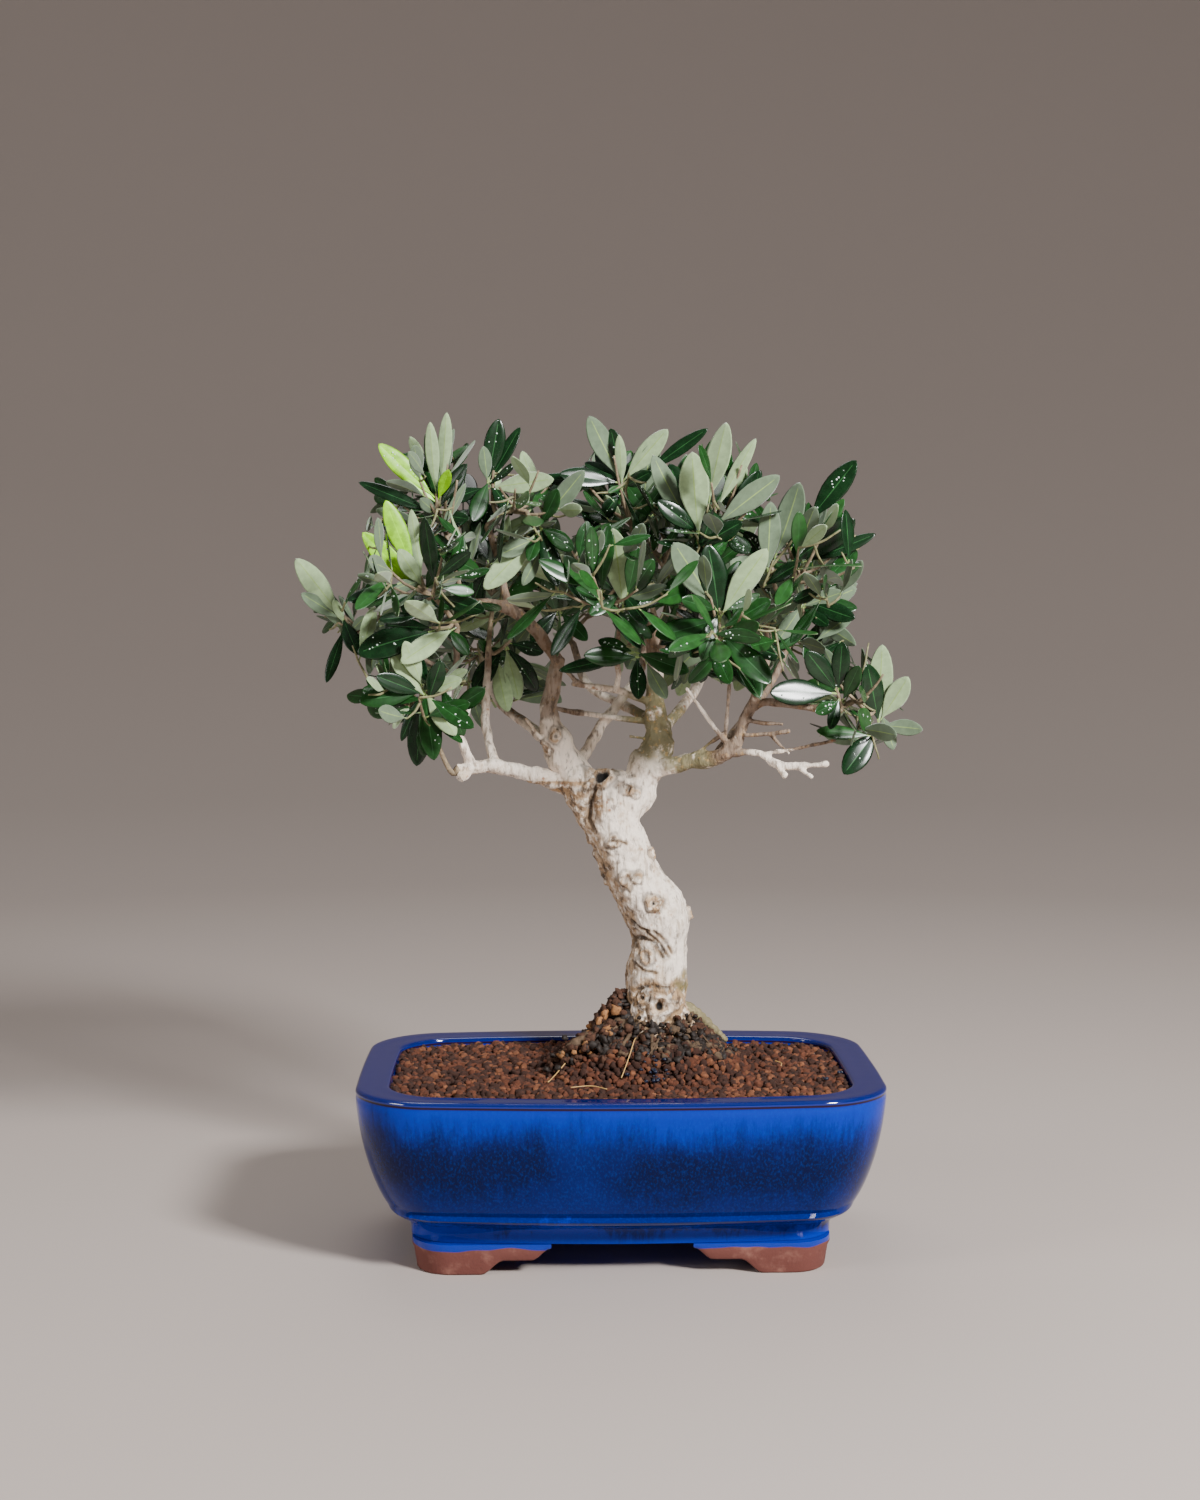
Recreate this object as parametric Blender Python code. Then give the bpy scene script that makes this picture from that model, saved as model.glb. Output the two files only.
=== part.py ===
"""Olive bonsai in a glazed rectangular pot, as separate named solids.

The pot stands on four bracket feet and is filled with grit, which is heaped
round the foot of the trunk. The trunk leans and forks low, and tapering
boughs carry the masses of foliage. Metres, +Z up.
"""

import math
import random

import bmesh
import bpy
from mathutils import Matrix, Vector
from mathutils.bvhtree import BVHTree

# Gap between pieces that touch
GAP = 0.0003

# Pot
POT_WIDTH = 0.210
POT_DEPTH = 0.143
POT_TOP = 0.073
POT_UNDERSIDE = 0.0127
POT_CORNER = 0.027
POT_CORNER_LEAST = 0.012
POT_CORNER_SHRINK = 0.6
CORNER_STEPS = 5
FRONT_STEPS = 4
SIDE_STEPS = 3
FRONT_BOW = 0.007
SIDE_BOW = 0.0015
LIP_WIDTH = 0.013
LIP_ROUND = 0.0015
LIP_DROP = 0.012
BELLY_INSET = 0.0188
BELLY_FOOT = 0.0195
BELLY_POWER = 1.7
BELLY_HEIGHTS = (0.0225, 0.028, 0.036, 0.047, 0.060)
UNDERSIDE_INSET = 0.0216
SKIRT_INSET = 0.0208
SKIRT_TOP = 0.0165
WALL = 0.009
FLOOR_TOP = 0.022
INSIDE_HEIGHTS = (0.045, 0.030, FLOOR_TOP)

# Feet, measured along the edge of the pot's underside
FOOT_INSET = 0.0015
FOOT_CORNER = 0.016
FOOT_CORNER_STEPS = 5
FOOT_LEAN = 0.002
FOOT_WALL = 0.009
FOOT_FRONT_REACH = 0.055
FOOT_SIDE_REACH = 0.034
FOOT_PAD_SHARE = 0.50
FOOT_STEP_SHARE = 0.86
FOOT_STEP_HEIGHT = 0.0058
FOOT_STEP_RUN = 0.16
FOOT_END_THICKNESS = 0.0015
FOOT_SHARES = (1.0, 0.93, FOOT_STEP_SHARE, 0.76, 0.66, 0.60, 0.55, FOOT_PAD_SHARE, 0.30)

# Grit
GRIT_EDGE = 0.0695
GRIT_PAD = 0.084
GRIT_DOME = 0.002
GRIT_LEVELS = (FLOOR_TOP + GAP, 0.030, 0.045, 0.058)
GRIT_RINGS = (0.0, 0.35, 0.6, 0.8, 1.0)
MOUND_LEFT = 0.054
MOUND_RIGHT = 0.040
MOUND_DEPTH = 0.046
PAD_RADIUS = 0.0205

# Trunk stations: place of the axis and radius
TRUNK = (
    (0.0160, 0.004, 0.0843, 0.0168),
    (0.0153, 0.004, 0.0960, 0.0128),
    (0.0158, 0.004, 0.1100, 0.0124),
    (0.0166, 0.004, 0.1235, 0.0112),
    (0.0158, 0.004, 0.1340, 0.0127),
    (0.0067, 0.002, 0.1490, 0.0110),
    (0.0016, 0.001, 0.1620, 0.0106),
    (-0.0035, 0.000, 0.1740, 0.0106),
    (-0.0050, 0.000, 0.1870, 0.0096),
)
TRUNK_SIDES = 14
FLARE_LOBES = 5
FLARE_DEPTH = 0.0028
FLARE_HEIGHT = 0.007
CUT_HOLLOW = 0.0045
CUT_RIM = 0.55
CUT_FLOOR = 0.40

# Boughs: the limb that carries each one, then its stations
BOUGHS = {
    "bough_centre_left": ("trunk", (
        (-0.0050, 0.000, 0.1680, 0.0080),
        (-0.0206, 0.000, 0.1950, 0.0071),
        (-0.0254, -0.002, 0.2061, 0.0056),
        (-0.0282, -0.004, 0.2196, 0.0036),
        (-0.0243, -0.004, 0.2397, 0.0028))),
    "bough_centre_left_tip": ("bough_centre_left", (
        (-0.0245, -0.004, 0.2380, 0.0027),
        (-0.0342, -0.006, 0.2510, 0.0026),
        (-0.0450, -0.008, 0.2594, 0.0024),
        (-0.0590, -0.008, 0.2618, 0.0018))),
    "bough_top_left": ("bough_centre_left_tip", (
        (-0.0440, -0.008, 0.2590, 0.0018),
        (-0.0480, -0.002, 0.2760, 0.0015),
        (-0.0520, 0.002, 0.2900, 0.0013))),
    "bough_left": ("bough_centre_left", (
        (-0.0170, 0.000, 0.1850, 0.0040),
        (-0.0254, -0.002, 0.1893, 0.0036),
        (-0.0380, -0.005, 0.1930, 0.0031),
        (-0.0500, -0.008, 0.1961, 0.0027),
        (-0.0650, -0.012, 0.1950, 0.0022))),
    "bough_left_riser": ("bough_left", (
        (-0.0595, -0.010, 0.1960, 0.0019),
        (-0.0638, -0.014, 0.2094, 0.0017),
        (-0.0684, -0.018, 0.2240, 0.0015),
        (-0.0650, -0.020, 0.2370, 0.0014),
        (-0.0647, -0.022, 0.2500, 0.0012))),
    "bough_left_out": ("bough_left_riser", (
        (-0.0660, -0.020, 0.2330, 0.0013),
        (-0.0800, -0.018, 0.2400, 0.0012),
        (-0.0950, -0.014, 0.2450, 0.0010))),
    "bough_left_brown": ("bough_left", (
        (-0.0500, -0.008, 0.1960, 0.0020),
        (-0.0537, 0.000, 0.2117, 0.0018),
        (-0.0538, 0.004, 0.2219, 0.0017),
        (-0.0527, 0.006, 0.2428, 0.0014))),
    "bough_diagonal": ("bough_centre_left", (
        (-0.0190, 0.002, 0.1920, 0.0027),
        (-0.0086, 0.008, 0.2087, 0.0023),
        (-0.0003, 0.012, 0.2195, 0.0022),
        (0.0092, 0.016, 0.2330, 0.0018),
        (0.0120, 0.022, 0.2450, 0.0015))),
    "bough_right": ("trunk", (
        (-0.0020, 0.000, 0.1700, 0.0080),
        (0.0107, 0.002, 0.1936, 0.0074),
        (0.0162, 0.004, 0.2044, 0.0062),
        (0.0156, 0.006, 0.2150, 0.0045),
        (0.0150, 0.009, 0.2323, 0.0034),
        (0.0140, 0.004, 0.2560, 0.0024))),
    "bough_top_right": ("bough_right", (
        (0.0150, 0.008, 0.2380, 0.0020),
        (0.0220, -0.008, 0.2520, 0.0017),
        (0.0280, -0.022, 0.2680, 0.0014))),
    "bough_centre_cut": ("bough_right", (
        (0.0150, 0.007, 0.2200, 0.0016),
        (0.0050, 0.004, 0.2240, 0.0015),
        (-0.0015, 0.002, 0.2262, 0.0014),
        (-0.0190, -0.008, 0.2292, 0.0013))),
    "bough_centre_riser": ("bough_centre_cut", (
        (-0.0007, 0.002, 0.2265, 0.0012),
        (-0.0003, -0.004, 0.2337, 0.0012),
        (-0.0016, -0.015, 0.2440, 0.0011),
        (0.0000, -0.028, 0.2550, 0.0010))),
    "bough_right_branch": ("bough_right", (
        (0.0119, 0.000, 0.1937, 0.0046),
        (0.0254, -0.005, 0.1968, 0.0036),
        (0.0397, -0.011, 0.2000, 0.0032),
        (0.0468, -0.014, 0.2062, 0.0028))),
    "bough_right_up": ("bough_right_branch", (
        (0.0462, -0.014, 0.2050, 0.0025),
        (0.0500, -0.016, 0.2160, 0.0022),
        (0.0537, -0.021, 0.2264, 0.0019),
        (0.0483, -0.028, 0.2380, 0.0014))),
    "bough_right_out": ("bough_right_up", (
        (0.0515, -0.017, 0.2195, 0.0018),
        (0.0577, -0.020, 0.2223, 0.0018),
        (0.0658, -0.022, 0.2214, 0.0016),
        (0.0830, -0.024, 0.2190, 0.0014))),
    "bough_right_upper": ("bough_right_up", (
        (0.0530, -0.020, 0.2250, 0.0015),
        (0.0590, -0.014, 0.2400, 0.0014),
        (0.0580, -0.018, 0.2540, 0.0012))),
    "bough_right_low": ("bough_right_branch", (
        (0.0435, -0.013, 0.2015, 0.0018),
        (0.0552, -0.018, 0.2016, 0.0016),
        (0.0642, -0.024, 0.1972, 0.0014),
        (0.0812, -0.030, 0.1986, 0.0012))),
    "bough_right_back": ("bough_right_branch", (
        (0.0380, -0.010, 0.1995, 0.0022),
        (0.0520, 0.004, 0.2150, 0.0019),
        (0.0640, 0.012, 0.2300, 0.0016),
        (0.0700, 0.015, 0.2430, 0.0013))),
    "bough_back_left": ("bough_centre_left", (
        (-0.0240, 0.000, 0.2020, 0.0026),
        (-0.0370, 0.016, 0.2110, 0.0023),
        (-0.0490, 0.030, 0.2200, 0.0019),
        (-0.0560, 0.044, 0.2360, 0.0015))),
    "bough_back_centre": ("bough_right", (
        (0.0150, 0.006, 0.2130, 0.0024),
        (0.0020, 0.024, 0.2190, 0.0021),
        (-0.0120, 0.036, 0.2270, 0.0018),
        (-0.0180, 0.050, 0.2440, 0.0015))),
    "bough_back_right": ("bough_right", (
        (0.0158, 0.005, 0.2080, 0.0028),
        (0.0260, 0.022, 0.2170, 0.0023),
        (0.0360, 0.038, 0.2290, 0.0019),
        (0.0420, 0.050, 0.2440, 0.0015))),
}
BOUGH_SIDES = 6
THICK_BOUGH = 0.004
THICK_BOUGH_SIDES = 10
RINGS_PER_SPAN = 2

# Surface roots on the heap, cut clear of the trunk and the grit
ROOTS = {
    "root_right": (
        (0.0200, 0.006, 0.0960, 0.0040),
        (0.0310, 0.010, 0.0925, 0.0026),
        (0.0390, 0.014, 0.0855, 0.0019),
        (0.0450, 0.018, 0.0790, 0.0013)),
    "root_left": (
        (0.0100, 0.000, 0.0900, 0.0048),
        (-0.0030, -0.004, 0.0880, 0.0034),
        (-0.0150, -0.009, 0.0845, 0.0022),
        (-0.0240, -0.012, 0.0795, 0.0014)),
}

# Foliage: bough whose tip carries the mass, centre and reach of its space,
# count of shoots and seed
CROWN_CENTRE = Vector((0.0, 0.0, 0.238))
MASSES = {
    "foliage_left_low": ("bough_left", (-0.0820, -0.026, 0.2240), (0.0350, 0.040, 0.0300), 6, 11),
    "foliage_left_upper": ("bough_left_riser", (-0.0790, -0.030, 0.2680), (0.0380, 0.042, 0.0340), 6, 12),
    "foliage_left_tip": ("bough_left_out", (-0.1040, -0.006, 0.2520), (0.0290, 0.034, 0.0310), 5, 13),
    "foliage_left_top": ("bough_centre_left_tip", (-0.0730, -0.006, 0.3000), (0.037, 0.042, 0.039), 6, 14),
    "foliage_top_left": ("bough_top_left", (-0.0370, -0.008, 0.2980), (0.0400, 0.044, 0.0400), 7, 15),
    "foliage_top_centre": ("bough_right", (0.0020, 0.000, 0.3010), (0.0400, 0.044, 0.0380), 7, 16),
    "foliage_top_right": ("bough_top_right", (0.0400, -0.030, 0.2950), (0.0400, 0.042, 0.0400), 7, 17),
    "foliage_centre": ("bough_centre_riser", (-0.0080, -0.048, 0.2620), (0.0420, 0.040, 0.0360), 7, 18),
    "foliage_right_front": ("bough_right_up", (0.0360, -0.056, 0.2500), (0.0390, 0.040, 0.0350), 6, 19),
    "foliage_right_upper": ("bough_right_upper", (0.0720, -0.028, 0.2740), (0.0380, 0.042, 0.0400), 6, 20),
    "foliage_right_mid": ("bough_right_back", (0.0780, 0.020, 0.2600), (0.0360, 0.042, 0.0370), 6, 21),
    "foliage_right_low": ("bough_right_out", (0.0950, -0.018, 0.2220), (0.0320, 0.040, 0.0330), 6, 22),
    "foliage_left_rear": ("bough_left_brown", (-0.0500, 0.030, 0.2720), (0.0400, 0.040, 0.0360), 6, 23),
    "foliage_back_left": ("bough_back_left", (-0.0540, 0.066, 0.2400), (0.0420, 0.038, 0.0350), 6, 24),
    "foliage_back_centre": ("bough_back_centre", (-0.0060, 0.070, 0.2580), (0.0400, 0.038, 0.0400), 6, 25),
    "foliage_back_right": ("bough_back_right", (0.0440, 0.066, 0.2480), (0.0420, 0.038, 0.0380), 6, 26),
    "foliage_top_rear": ("bough_diagonal", (0.0220, 0.032, 0.2860), (0.0420, 0.042, 0.0400), 6, 27),
}
STEM_RADIUS = 0.0014
STEM_STRAIGHT = 0.003
STEM_ARCH = 0.002
SHOOT_RADIUS = 0.0012
SHOOT_TAPER = 0.8
TWIG_SIDES = 3
NODE_SPACING = 0.010
PAIRS_PER_SHOOT = 3
BARE_SHARE = 0.30
LAST_NODE_SHARE = 0.95
SHOOT_LOWEST = -0.45
SHOOT_HIGHEST = 0.95
SHOOT_REACH = (0.30, 0.60)
SHOOT_START = (0.50, 0.75)
SHOOT_CLIMB = 0.25
SHOOT_TRIES = (1.0, 0.8, 0.6)
OUTWARD_PULL = 0.3
UPWARD_BEND = 0.35
GOLDEN_ANGLE = math.radians(137.5)
LEAF_LENGTH = 0.032
LEAF_SPREAD = (0.72, 1.28)
LEAF_FALL = 0.25
LONGEST_AT = 0.6
LEAF_WIDTH_SHARE = 0.50
LEAF_WIDEST = 0.56
LEAF_THICKNESS = 0.0008
LEAF_ROOT_WIDTH = 0.0007
LEAF_ROOT_DEPTH = 0.0005
LEAF_LIFT = 0.12
BLADE_START = 0.16
# Angle between leaf and twig at the first pair, its fall to the last and its spread
OPENING_FIRST = 60
OPENING_FALL = 32
OPENING_SPREAD = 8
# A leaf's tries: share of its length, wider opening and turn about the twig
LEAF_CHOICES = (
    (1.0, 0.0, 0.0), (0.95, 0.0, 0.35), (0.95, 0.0, -0.35), (0.9, 0.25, 0.0), (0.9, -0.25, 0.0),
    (0.8, 0.2, 0.5), (0.8, 0.2, -0.5), (0.7, 0.35, 0.0), (0.65, 0.0, 0.0))
SPACE_MARGIN = 0.015
LIMB_CLEARANCE = 0.0012

# Colours, linear
GLAZE = (0.005, 0.07, 0.45)
CLAY = (0.15, 0.05, 0.035)
GRIT = (0.13, 0.04, 0.015)
BARK = (0.62, 0.58, 0.50)
ROOT_BARK = (0.10, 0.07, 0.05)
LEAF = (0.05, 0.16, 0.05)


def clear_scene():
    """Remove whatever the open file holds."""
    for obj in list(bpy.data.objects):
        bpy.data.objects.remove(obj, do_unlink=True)


def finish(obj, colour, roughness):
    """Give an object its own material."""
    material = bpy.data.materials.new(obj.name)
    material.use_nodes = True
    shader = material.node_tree.nodes["Principled BSDF"]
    shader.inputs["Base Color"].default_value = (*colour, 1.0)
    shader.inputs["Roughness"].default_value = roughness
    obj.data.materials.clear()
    obj.data.materials.append(material)


def new_object(name, bm):
    """Turn a bmesh into an object with its faces pointing out."""
    bmesh.ops.recalc_face_normals(bm, faces=bm.faces)
    mesh = bpy.data.meshes.new(name)
    bm.to_mesh(mesh)
    bm.free()
    obj = bpy.data.objects.new(name, mesh)
    bpy.context.scene.collection.objects.link(obj)
    return obj


def smooth(obj, angle=40):
    """Shade a round piece smooth up to an edge angle in degrees."""
    obj.data.shade_smooth()
    obj.data.set_sharp_from_angle(angle=math.radians(angle))


def loft(rings):
    """Skin closed rings of equal count and cap both ends."""
    bm = bmesh.new()
    rows = [[bm.verts.new(point) for point in ring] for ring in rings]
    count = len(rows[0])
    for low, high in zip(rows, rows[1:]):
        for i in range(count):
            j = (i + 1) % count
            bm.faces.new((low[i], low[j], high[j], high[i]))
    bm.faces.new(list(reversed(rows[0])))
    bm.faces.new(rows[-1])
    return bm


def smoothstep(t):
    """Ease from 0 to 1."""
    t = min(max(t, 0.0), 1.0)
    return t * t * (3.0 - 2.0 * t)


def pot_outline(inset):
    """Plan outline of the pot at an inset: a rectangle with round corners and bowed sides."""
    bow = 1.0 - inset / POT_DEPTH
    half_x = POT_WIDTH / 2 - SIDE_BOW - inset
    half_y = POT_DEPTH / 2 - FRONT_BOW - inset
    corner = max(POT_CORNER - POT_CORNER_SHRINK * inset, POT_CORNER_LEAST)
    points = []
    for sign_x, sign_y, start in ((1, -1, -90), (1, 1, 0), (-1, 1, 90), (-1, -1, 180)):
        centre_x = sign_x * (half_x - corner)
        centre_y = sign_y * (half_y - corner)
        for i in range(CORNER_STEPS + 1):
            angle = math.radians(start + 90 * i / CORNER_STEPS)
            points.append((centre_x + corner * math.cos(angle), centre_y + corner * math.sin(angle)))
        if sign_x == sign_y:
            for i in range(1, FRONT_STEPS):
                points.append((centre_x * (1 - 2 * i / FRONT_STEPS), sign_y * half_y))
        else:
            for i in range(1, SIDE_STEPS):
                points.append((sign_x * half_x, centre_y * (1 - 2 * i / SIDE_STEPS)))
    bowed = []
    for x, y in points:
        front = FRONT_BOW * bow * (1 - (x / half_x) ** 2) * abs(y) / half_y
        side = SIDE_BOW * bow * (1 - (y / half_y) ** 2) * abs(x) / half_x
        bowed.append((x + math.copysign(side, x), y + math.copysign(front, y)))
    return bowed


def belly_inset(z):
    """How far the pot's side stands in from the rim at a height."""
    t = (POT_TOP - z) / (POT_TOP - BELLY_FOOT)
    return BELLY_INSET * (1 - (1 - min(t, 1.0) ** BELLY_POWER) ** (1 / BELLY_POWER))


def pot_profile():
    """Inset and height of the pot's rings, from the underside up and down inside."""
    rings = [(UNDERSIDE_INSET, POT_UNDERSIDE), (SKIRT_INSET, SKIRT_TOP), (BELLY_INSET, BELLY_FOOT)]
    rings += [(belly_inset(z), z) for z in BELLY_HEIGHTS]
    rings += [(0.0, POT_TOP - LIP_ROUND), (LIP_ROUND, POT_TOP)]
    rings += [(LIP_WIDTH, POT_TOP), (LIP_WIDTH, POT_TOP - LIP_DROP)]
    rings += [(max(LIP_WIDTH, belly_inset(z) + WALL), z) for z in INSIDE_HEIGHTS]
    return rings


def build_pot():
    """Glazed shell: belly, flat lip and hollow inside."""
    rings = [[(x, y, z) for x, y in pot_outline(inset)] for inset, z in pot_profile()]
    pot = new_object("pot", loft(rings))
    smooth(pot, 35)
    finish(pot, GLAZE, 0.12)
    return pot


def foot_height(share):
    """Height of a foot's lower edge over the ground, along its reach from the corner."""
    top = POT_UNDERSIDE - GAP
    if share < FOOT_PAD_SHARE:
        return 0.0
    if share < FOOT_STEP_SHARE:
        return FOOT_STEP_HEIGHT * smoothstep((share - FOOT_PAD_SHARE) / FOOT_STEP_RUN)
    left = (share - FOOT_STEP_SHARE) / (1 - FOOT_STEP_SHARE)
    return FOOT_STEP_HEIGHT + (top - FOOT_END_THICKNESS - FOOT_STEP_HEIGHT) * left


def foot_path():
    """Stations of one foot along the right front edge: outer point, inward direction, share of reach."""
    half_x = POT_WIDTH / 2 - SKIRT_INSET - FOOT_INSET
    half_y = POT_DEPTH / 2 - SKIRT_INSET - FOOT_INSET
    centre_x = half_x - FOOT_CORNER
    centre_y = FOOT_CORNER - half_y
    stations = []
    for share in FOOT_SHARES:
        x = half_x - share * FOOT_FRONT_REACH
        if x < centre_x:
            stations.append(((x, -half_y), (0, 1), share))
    for i in range(FOOT_CORNER_STEPS + 1):
        angle = math.radians(90 * i / FOOT_CORNER_STEPS - 90)
        out_x, out_y = math.cos(angle), math.sin(angle)
        place = (centre_x + FOOT_CORNER * out_x, centre_y + FOOT_CORNER * out_y)
        stations.append((place, (-out_x, -out_y), 0.0))
    for share in reversed(FOOT_SHARES):
        y = share * FOOT_SIDE_REACH - half_y
        if y > centre_y:
            stations.append(((half_x, y), (-1, 0), share))
    return stations


def build_foot(name, sign_x, sign_y):
    """Bracket foot round one corner, with a flat underside and a stepped edge."""
    rings = []
    top = POT_UNDERSIDE - GAP
    for (x, y), (nx, ny), share in foot_path():
        low = foot_height(share)
        lean = FOOT_LEAN * (top - low) / top
        outer_low = (x + nx * lean, y + ny * lean, low)
        inner_low = (x + nx * FOOT_WALL, y + ny * FOOT_WALL, low)
        inner_top = (x + nx * FOOT_WALL, y + ny * FOOT_WALL, top)
        ring = [(x, y, top), outer_low, inner_low, inner_top]
        rings.append([(sign_x * px, -sign_y * py, pz) for px, py, pz in ring])
    foot = new_object(name, loft(rings))
    smooth(foot, 30)
    finish(foot, CLAY, 0.7)
    return foot


def grit_height(x, y):
    """Level of the grit: nearly flat, with a heap round the trunk's foot."""
    foot_x, foot_y = TRUNK[0][:2]
    reach_x = MOUND_LEFT if x < foot_x else MOUND_RIGHT
    distance = math.hypot((x - foot_x) / reach_x, (y - foot_y) / MOUND_DEPTH)
    pad = PAD_RADIUS / MOUND_DEPTH
    rise = smoothstep((1.0 - distance) / (1.0 - pad))
    dome = GRIT_DOME * (1 - (2 * x / POT_WIDTH) ** 2) * (1 - (2 * y / POT_DEPTH) ** 2)
    return GRIT_EDGE + dome * (1 - rise) + (GRIT_PAD - GRIT_EDGE) * rise


def build_grit():
    """Filling of the pot, with a flat pad under the trunk."""
    rings = []
    for z in GRIT_LEVELS:
        inset = max(LIP_WIDTH, belly_inset(z) + WALL) + GAP
        rings.append([(x, y, z) for x, y in pot_outline(inset)])
    edge = pot_outline(LIP_WIDTH + GAP)
    foot_x, foot_y = TRUNK[0][:2]
    for share in GRIT_RINGS:
        ring = []
        for x, y in edge:
            away = math.hypot(x - foot_x, y - foot_y)
            pad_x = foot_x + (x - foot_x) * PAD_RADIUS / away
            pad_y = foot_y + (y - foot_y) * PAD_RADIUS / away
            px = x + (pad_x - x) * share
            py = y + (pad_y - y) * share
            z = GRIT_PAD if share == 1.0 else grit_height(px, py)
            ring.append((px, py, z))
        rings.append(ring)
    grit = new_object("grit", loft(rings))
    smooth(grit, 50)
    finish(grit, GRIT, 0.95)
    return grit


def spline(stations, per_span):
    """Catmull-Rom points through stations of place and radius."""
    points = [Vector(s) for s in stations]
    ends = [points[0] * 2 - points[1]] + points + [points[-1] * 2 - points[-2]]
    result = []
    for a, b, c, d in zip(ends, ends[1:], ends[2:], ends[3:]):
        for i in range(per_span):
            t = i / per_span
            result.append(0.5 * (2 * b + (c - a) * t + (2 * a - 5 * b + 4 * c - d) * t ** 2
                                 + (3 * b - a - 3 * c + d) * t ** 3))
    result.append(points[-1])
    return result


def tube_rings(path, sides, grow=0.0, shape=None):
    """Rings round a path of places and radii, kept from twisting."""
    places = [Vector(p[:3]) for p in path]
    radii = [p[3] + grow for p in path]
    tangents = []
    for i in range(len(places)):
        before = places[max(i - 1, 0)]
        after = places[min(i + 1, len(places) - 1)]
        tangents.append((after - before).normalized())
    places[0] = places[0] - tangents[0] * grow
    places[-1] = places[-1] + tangents[-1] * grow
    side = tangents[0].orthogonal()
    rings = []
    for place, radius, tangent in zip(places, radii, tangents):
        side = (side - tangent * side.dot(tangent)).normalized()
        across = tangent.cross(side)
        ring = []
        for i in range(sides):
            angle = 2 * math.pi * i / sides
            reach = radius * (shape(place, angle) if shape else 1.0)
            ring.append(place + side * reach * math.cos(angle) + across * reach * math.sin(angle))
        rings.append(ring)
    return rings


def flare(place, angle):
    """Share by which a root lobe widens the trunk near the ground."""
    fall = math.exp(-(place.z - TRUNK[0][2]) / FLARE_HEIGHT)
    return 1.0 + FLARE_DEPTH / TRUNK[0][3] * fall * math.cos(FLARE_LOBES * angle)


def trunk_mesh(grow=0.0):
    """Leaning trunk with a flat cut at the ground and a cut hollow in its fork."""
    path = spline(TRUNK, RINGS_PER_SPAN)
    rings = tube_rings(path, TRUNK_SIDES, grow, flare)
    ground = TRUNK[0][2] - grow
    rings[0] = [Vector((p.x, p.y, ground)) for p in rings[0]]
    if grow == 0.0:
        top = Vector(TRUNK[-1][:3])
        rim = rings[-1]
        rings.append([top + (p - top) * CUT_RIM for p in rim])
        rings.append([top + (p - top) * CUT_FLOOR - Vector((0, 0, CUT_HOLLOW)) for p in rim])
    return loft(rings)


def bough_mesh(name, grow=0.0):
    """One tapering limb."""
    stations = BOUGHS[name][1]
    sides = THICK_BOUGH_SIDES if stations[0][3] > THICK_BOUGH else BOUGH_SIDES
    return loft(tube_rings(spline(stations, RINGS_PER_SPAN), sides, grow))


def apply_modifiers(obj):
    """Keep the evaluated mesh and drop the modifiers."""
    graph = bpy.context.evaluated_depsgraph_get()
    mesh = bpy.data.meshes.new_from_object(obj.evaluated_get(graph))
    obj.modifiers.clear()
    obj.data = mesh


def cut(obj, cutters):
    """Take cutters away from an object, then remove them."""
    for cutter in cutters:
        boolean = obj.modifiers.new("clearance", "BOOLEAN")
        boolean.operation = "DIFFERENCE"
        boolean.solver = "EXACT"
        boolean.object = cutter
    apply_modifiers(obj)
    for cutter in cutters:
        bpy.data.objects.remove(cutter, do_unlink=True)


def build_trunk():
    """Trunk from the ground to its fork."""
    trunk = new_object("trunk", trunk_mesh())
    smooth(trunk, 50)
    finish(trunk, BARK, 0.8)
    return trunk


def wider(name):
    """Copy of a limb that is wider by the gap, to cut its neighbours with."""
    bm = trunk_mesh(GAP) if name == "trunk" else bough_mesh(name, GAP)
    return new_object(name + "_wider", bm)


def build_boughs():
    """Every bough, cut clear of the limb that carries it and of the trunk."""
    for name in BOUGHS:
        parent = BOUGHS[name][0]
        bough = new_object(name, bough_mesh(name))
        cutters = [wider(parent)]
        if parent != "trunk" and BOUGHS[parent][0] == "trunk":
            cutters.append(wider("trunk"))
        if name == "bough_right":
            cutters.append(wider("bough_centre_left"))
        cut(bough, cutters)
        smooth(bough, 50)
        finish(bough, BARK, 0.8)


def build_roots():
    """Surface roots that run down the heap, cut clear of the trunk and the grit."""
    for name, stations in ROOTS.items():
        root = new_object(name, loft(tube_rings(spline(stations, RINGS_PER_SPAN), BOUGH_SIDES)))
        grit = bpy.data.objects["grit"].copy()
        grit.data = grit.data.copy()
        bpy.context.scene.collection.objects.link(grit)
        for vertex in grit.data.vertices:
            vertex.co.z += GAP
        cut(root, [wider("trunk"), grit])
        smooth(root, 50)
        finish(root, ROOT_BARK, 0.9)


def stem_path(name):
    """Stem of a mass: from its bough's tip to the middle of its space."""
    bough, centre = MASSES[name][:2]
    stations = BOUGHS[bough][1]
    tip = Vector(stations[-1][:3])
    heading = (tip - Vector(stations[-2][:3])).normalized()
    start = tip + heading * GAP
    bend = start + heading * STEM_STRAIGHT
    middle = Vector(centre)
    between = bend.lerp(middle, 0.5) + Vector((0, 0, STEM_ARCH))
    width = min(STEM_RADIUS, stations[-1][3])
    return [(*start, width), (*bend, width), (*between, width), (*middle, SHOOT_RADIUS)]


def space_score(point, name):
    """Scaled distance from the middle of a mass's space, 1 at its edge."""
    centre, reach = MASSES[name][1:3]
    return math.sqrt(sum(((p - c) / r) ** 2 for p, c, r in zip(point, centre, reach)))


def keeps_to_space(point, name):
    """Whether a point lies in a mass's own space and nearer to it than to any other."""
    own = space_score(point, name)
    if own > 1.0:
        return False
    return all(space_score(point, other) > own + SPACE_MARGIN for other in MASSES if other != name)


def crosses(tree, others):
    """Whether a search tree cuts any other one."""
    return any(tree.overlap(other) for other in others)


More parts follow.
